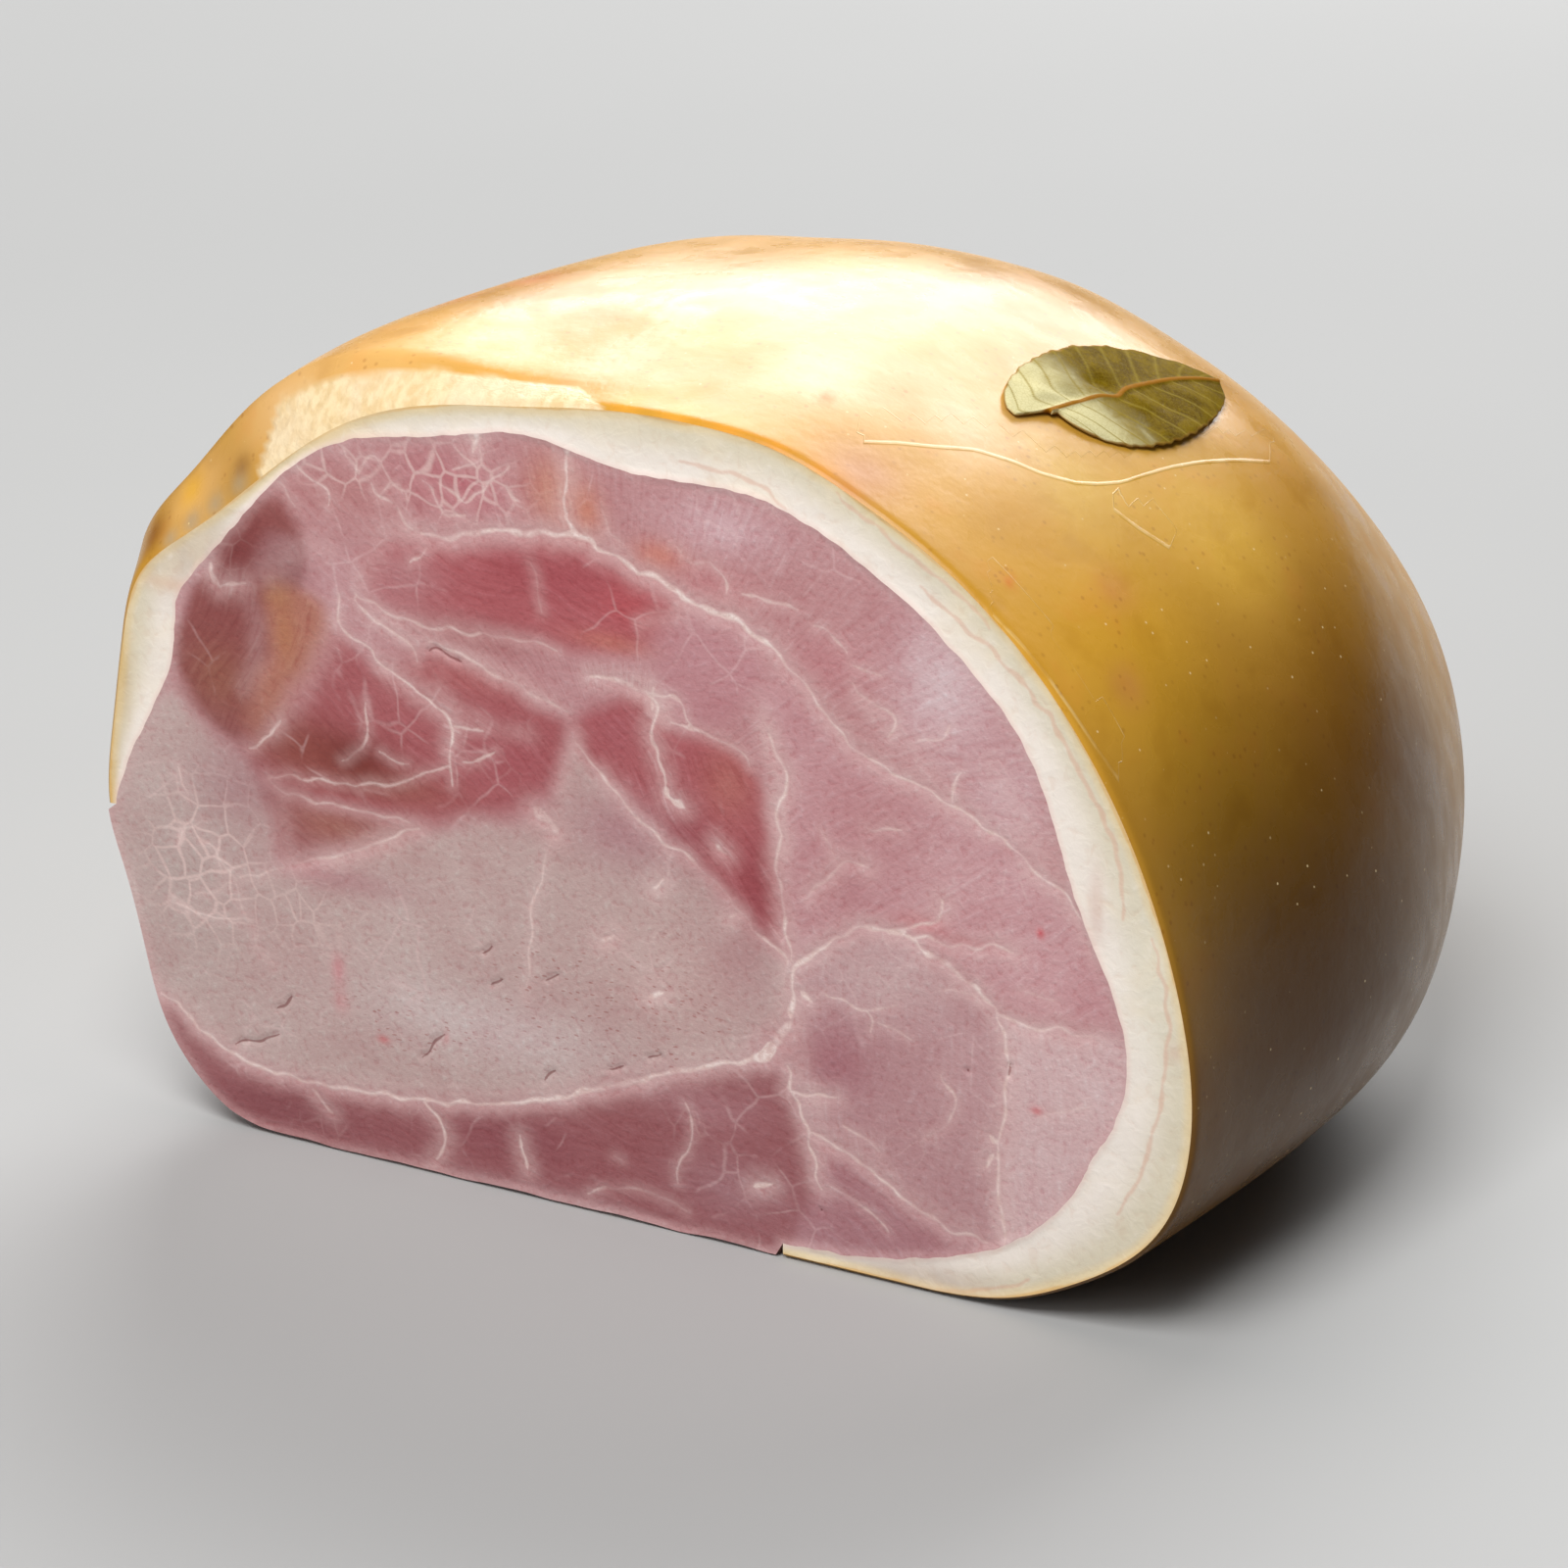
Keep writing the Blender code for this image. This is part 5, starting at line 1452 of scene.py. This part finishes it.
def leaf_look():
    look = Look("dried_bay_leaf")
    patch = look.noise(200.0, 3.0, 0.6, 0.5)
    fine = look.noise(1500.0, 2.0, 0.6)
    green = look.mix(look.ramp(patch, 0.35, 0.65), (0.110, 0.064, 0.001), (0.190, 0.120, 0.003))
    green = look.mix(look.ramp(fine, 0.5, 0.7, 0.0, 0.35), green, (0.26, 0.18, 0.010))
    # Painted sheen: a whitish colour over the blade near its stalk end, weaker on the side veins.
    painted_sheen = look.ramp(look.total((look.value("along"), 1.0), (patch, 0.25)), 0.58, 0.30, 0.0, 0.80)
    painted_sheen = look.product(painted_sheen, look.ramp(look.value("vein"), 0.9, 0.2, 0.4, 1.0))
    green = look.mix(painted_sheen, green, (0.78, 0.72, 0.40))
    green = look.mix(look.product(look.value("vein"), 0.55), green, (0.36, 0.27, 0.04))
    border = look.ramp(look.total((look.value("border"), 1.0), (patch, 0.05)), 0.975, 1.02)
    green = look.mix(look.product(border, 0.8), green, (0.32, 0.17, 0.03))
    net = look.ramp(look.cells(1300.0, "DISTANCE_TO_EDGE"), 0.10, 0.0, 0.0, 0.25)
    green = look.mix(net, green, (0.30, 0.22, 0.035))
    green = look.mix(look.ramp(look.value("rib"), 0.30, 0.75), green, (0.32, 0.135, 0.010))
    look.set(Base_Color=green, Roughness=look.ramp(fine, 0.3, 0.7, 0.46, 0.62), Specular_IOR_Level=0.01)
    look.bump(look.total((patch, 0.7), (fine, 0.2)), 0.5, 0.0005)
    return look.material


# Light, floor and camera

FLOOR_TINT = (0.42, 0.42, 0.416)
FLOOR_HALF = 4.0
FLOOR_GAP = 0.0002
WORLD_STRENGTH = 0.05
# Name, place, target, width and height in metres, and power in watts
LIGHTS = (
    ("softbox_behind", (-0.78, 2.39, 1.73), (0.0, 0.0, 0.10), (2.18, 2.05), 108.0),
    ("softbox_right", (0.43, 2.04, 1.97), (0.0, 0.0, 0.10), (1.4, 1.3), 12.0),
    ("softbox_above", (0.15, -0.85, 1.35), (0.0, 0.0, 0.08), (0.8, 0.8), 23.0),
    ("softbox_front", (-0.70, -2.20, 0.80), (0.0, 0.0, 0.06), (1.2, 1.0), 14.0),
)


def floor_look():
    look = Look("pale_floor")
    tint = look.mix(look.ramp(look.noise(3.0), 0.3, 0.7), FLOOR_TINT, tuple(1.03 * c for c in FLOOR_TINT))
    look.set(Base_Color=tint, Roughness=0.8, Specular_IOR_Level=0.15)
    return look.material


def add_light(name, place, target, size, power):
    data = bpy.data.lights.new(name, "AREA")
    data.shape = "RECTANGLE"
    data.size, data.size_y = size
    data.energy = power
    lamp = bpy.data.objects.new(name, data)
    lamp.location = place
    lamp.rotation_euler = (Vector(target) - Vector(place)).to_track_quat("-Z", "Y").to_euler()
    bpy.context.collection.objects.link(lamp)


def add_floor():
    mesh = bpy.data.meshes.new("floor")
    corners = [(x * FLOOR_HALF, y * FLOOR_HALF, 0.0) for x, y in ((-1, -1), (1, -1), (1, 1), (-1, 1))]
    mesh.from_pydata(corners, [], [(0, 1, 2, 3)])
    floor = bpy.data.objects.new("floor", mesh)
    floor.location = (0.0, 0.0, -FLOOR_GAP)
    floor.data.materials.append(floor_look())
    bpy.context.collection.objects.link(floor)


def add_world():
    world = bpy.data.worlds.new("studio")
    world.use_nodes = True
    background = world.node_tree.nodes["Background"]
    background.inputs["Color"].default_value = (1.0, 1.0, 1.0, 1.0)
    background.inputs["Strength"].default_value = WORLD_STRENGTH
    bpy.context.scene.world = world


def add_camera():
    eye, back = photo_view()[:2]
    data = bpy.data.cameras.new("camera")
    data.sensor_width = SENSOR
    data.lens = SENSOR / 2.0 / math.tan(math.radians(CAMERA_ANGLE) / 2.0)
    camera = bpy.data.objects.new("camera", data)
    camera.location = Vector(eye)
    camera.rotation_euler = Vector(back).to_track_quat("Z", "Y").to_euler()
    bpy.context.collection.objects.link(camera)
    bpy.context.scene.camera = camera


def main():
    bpy.context.scene.view_settings.view_transform = "Standard"
    fine = Loft(RIND_STEP)
    shift = centring(fine)
    fat = make_fat(fine, shift)
    meat = make_meat(Loft(LEAN_STEP), shift)
    leaf = make_leaf(paint_rind(fat), shift)
    for piece, node, look, slot in (
        (meat, "meat", lean_look(), "lean"),
        (fat, "fat_rind", fat_look(), "rind"),
        (leaf, "bay_leaf", leaf_look(), "leaf"),
    ):
        piece.data.materials.append(look)
        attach(piece, "root")
        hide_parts(node)
    add_floor()
    add_world()
    for light in LIGHTS:
        add_light(*light)
    add_camera()


main()
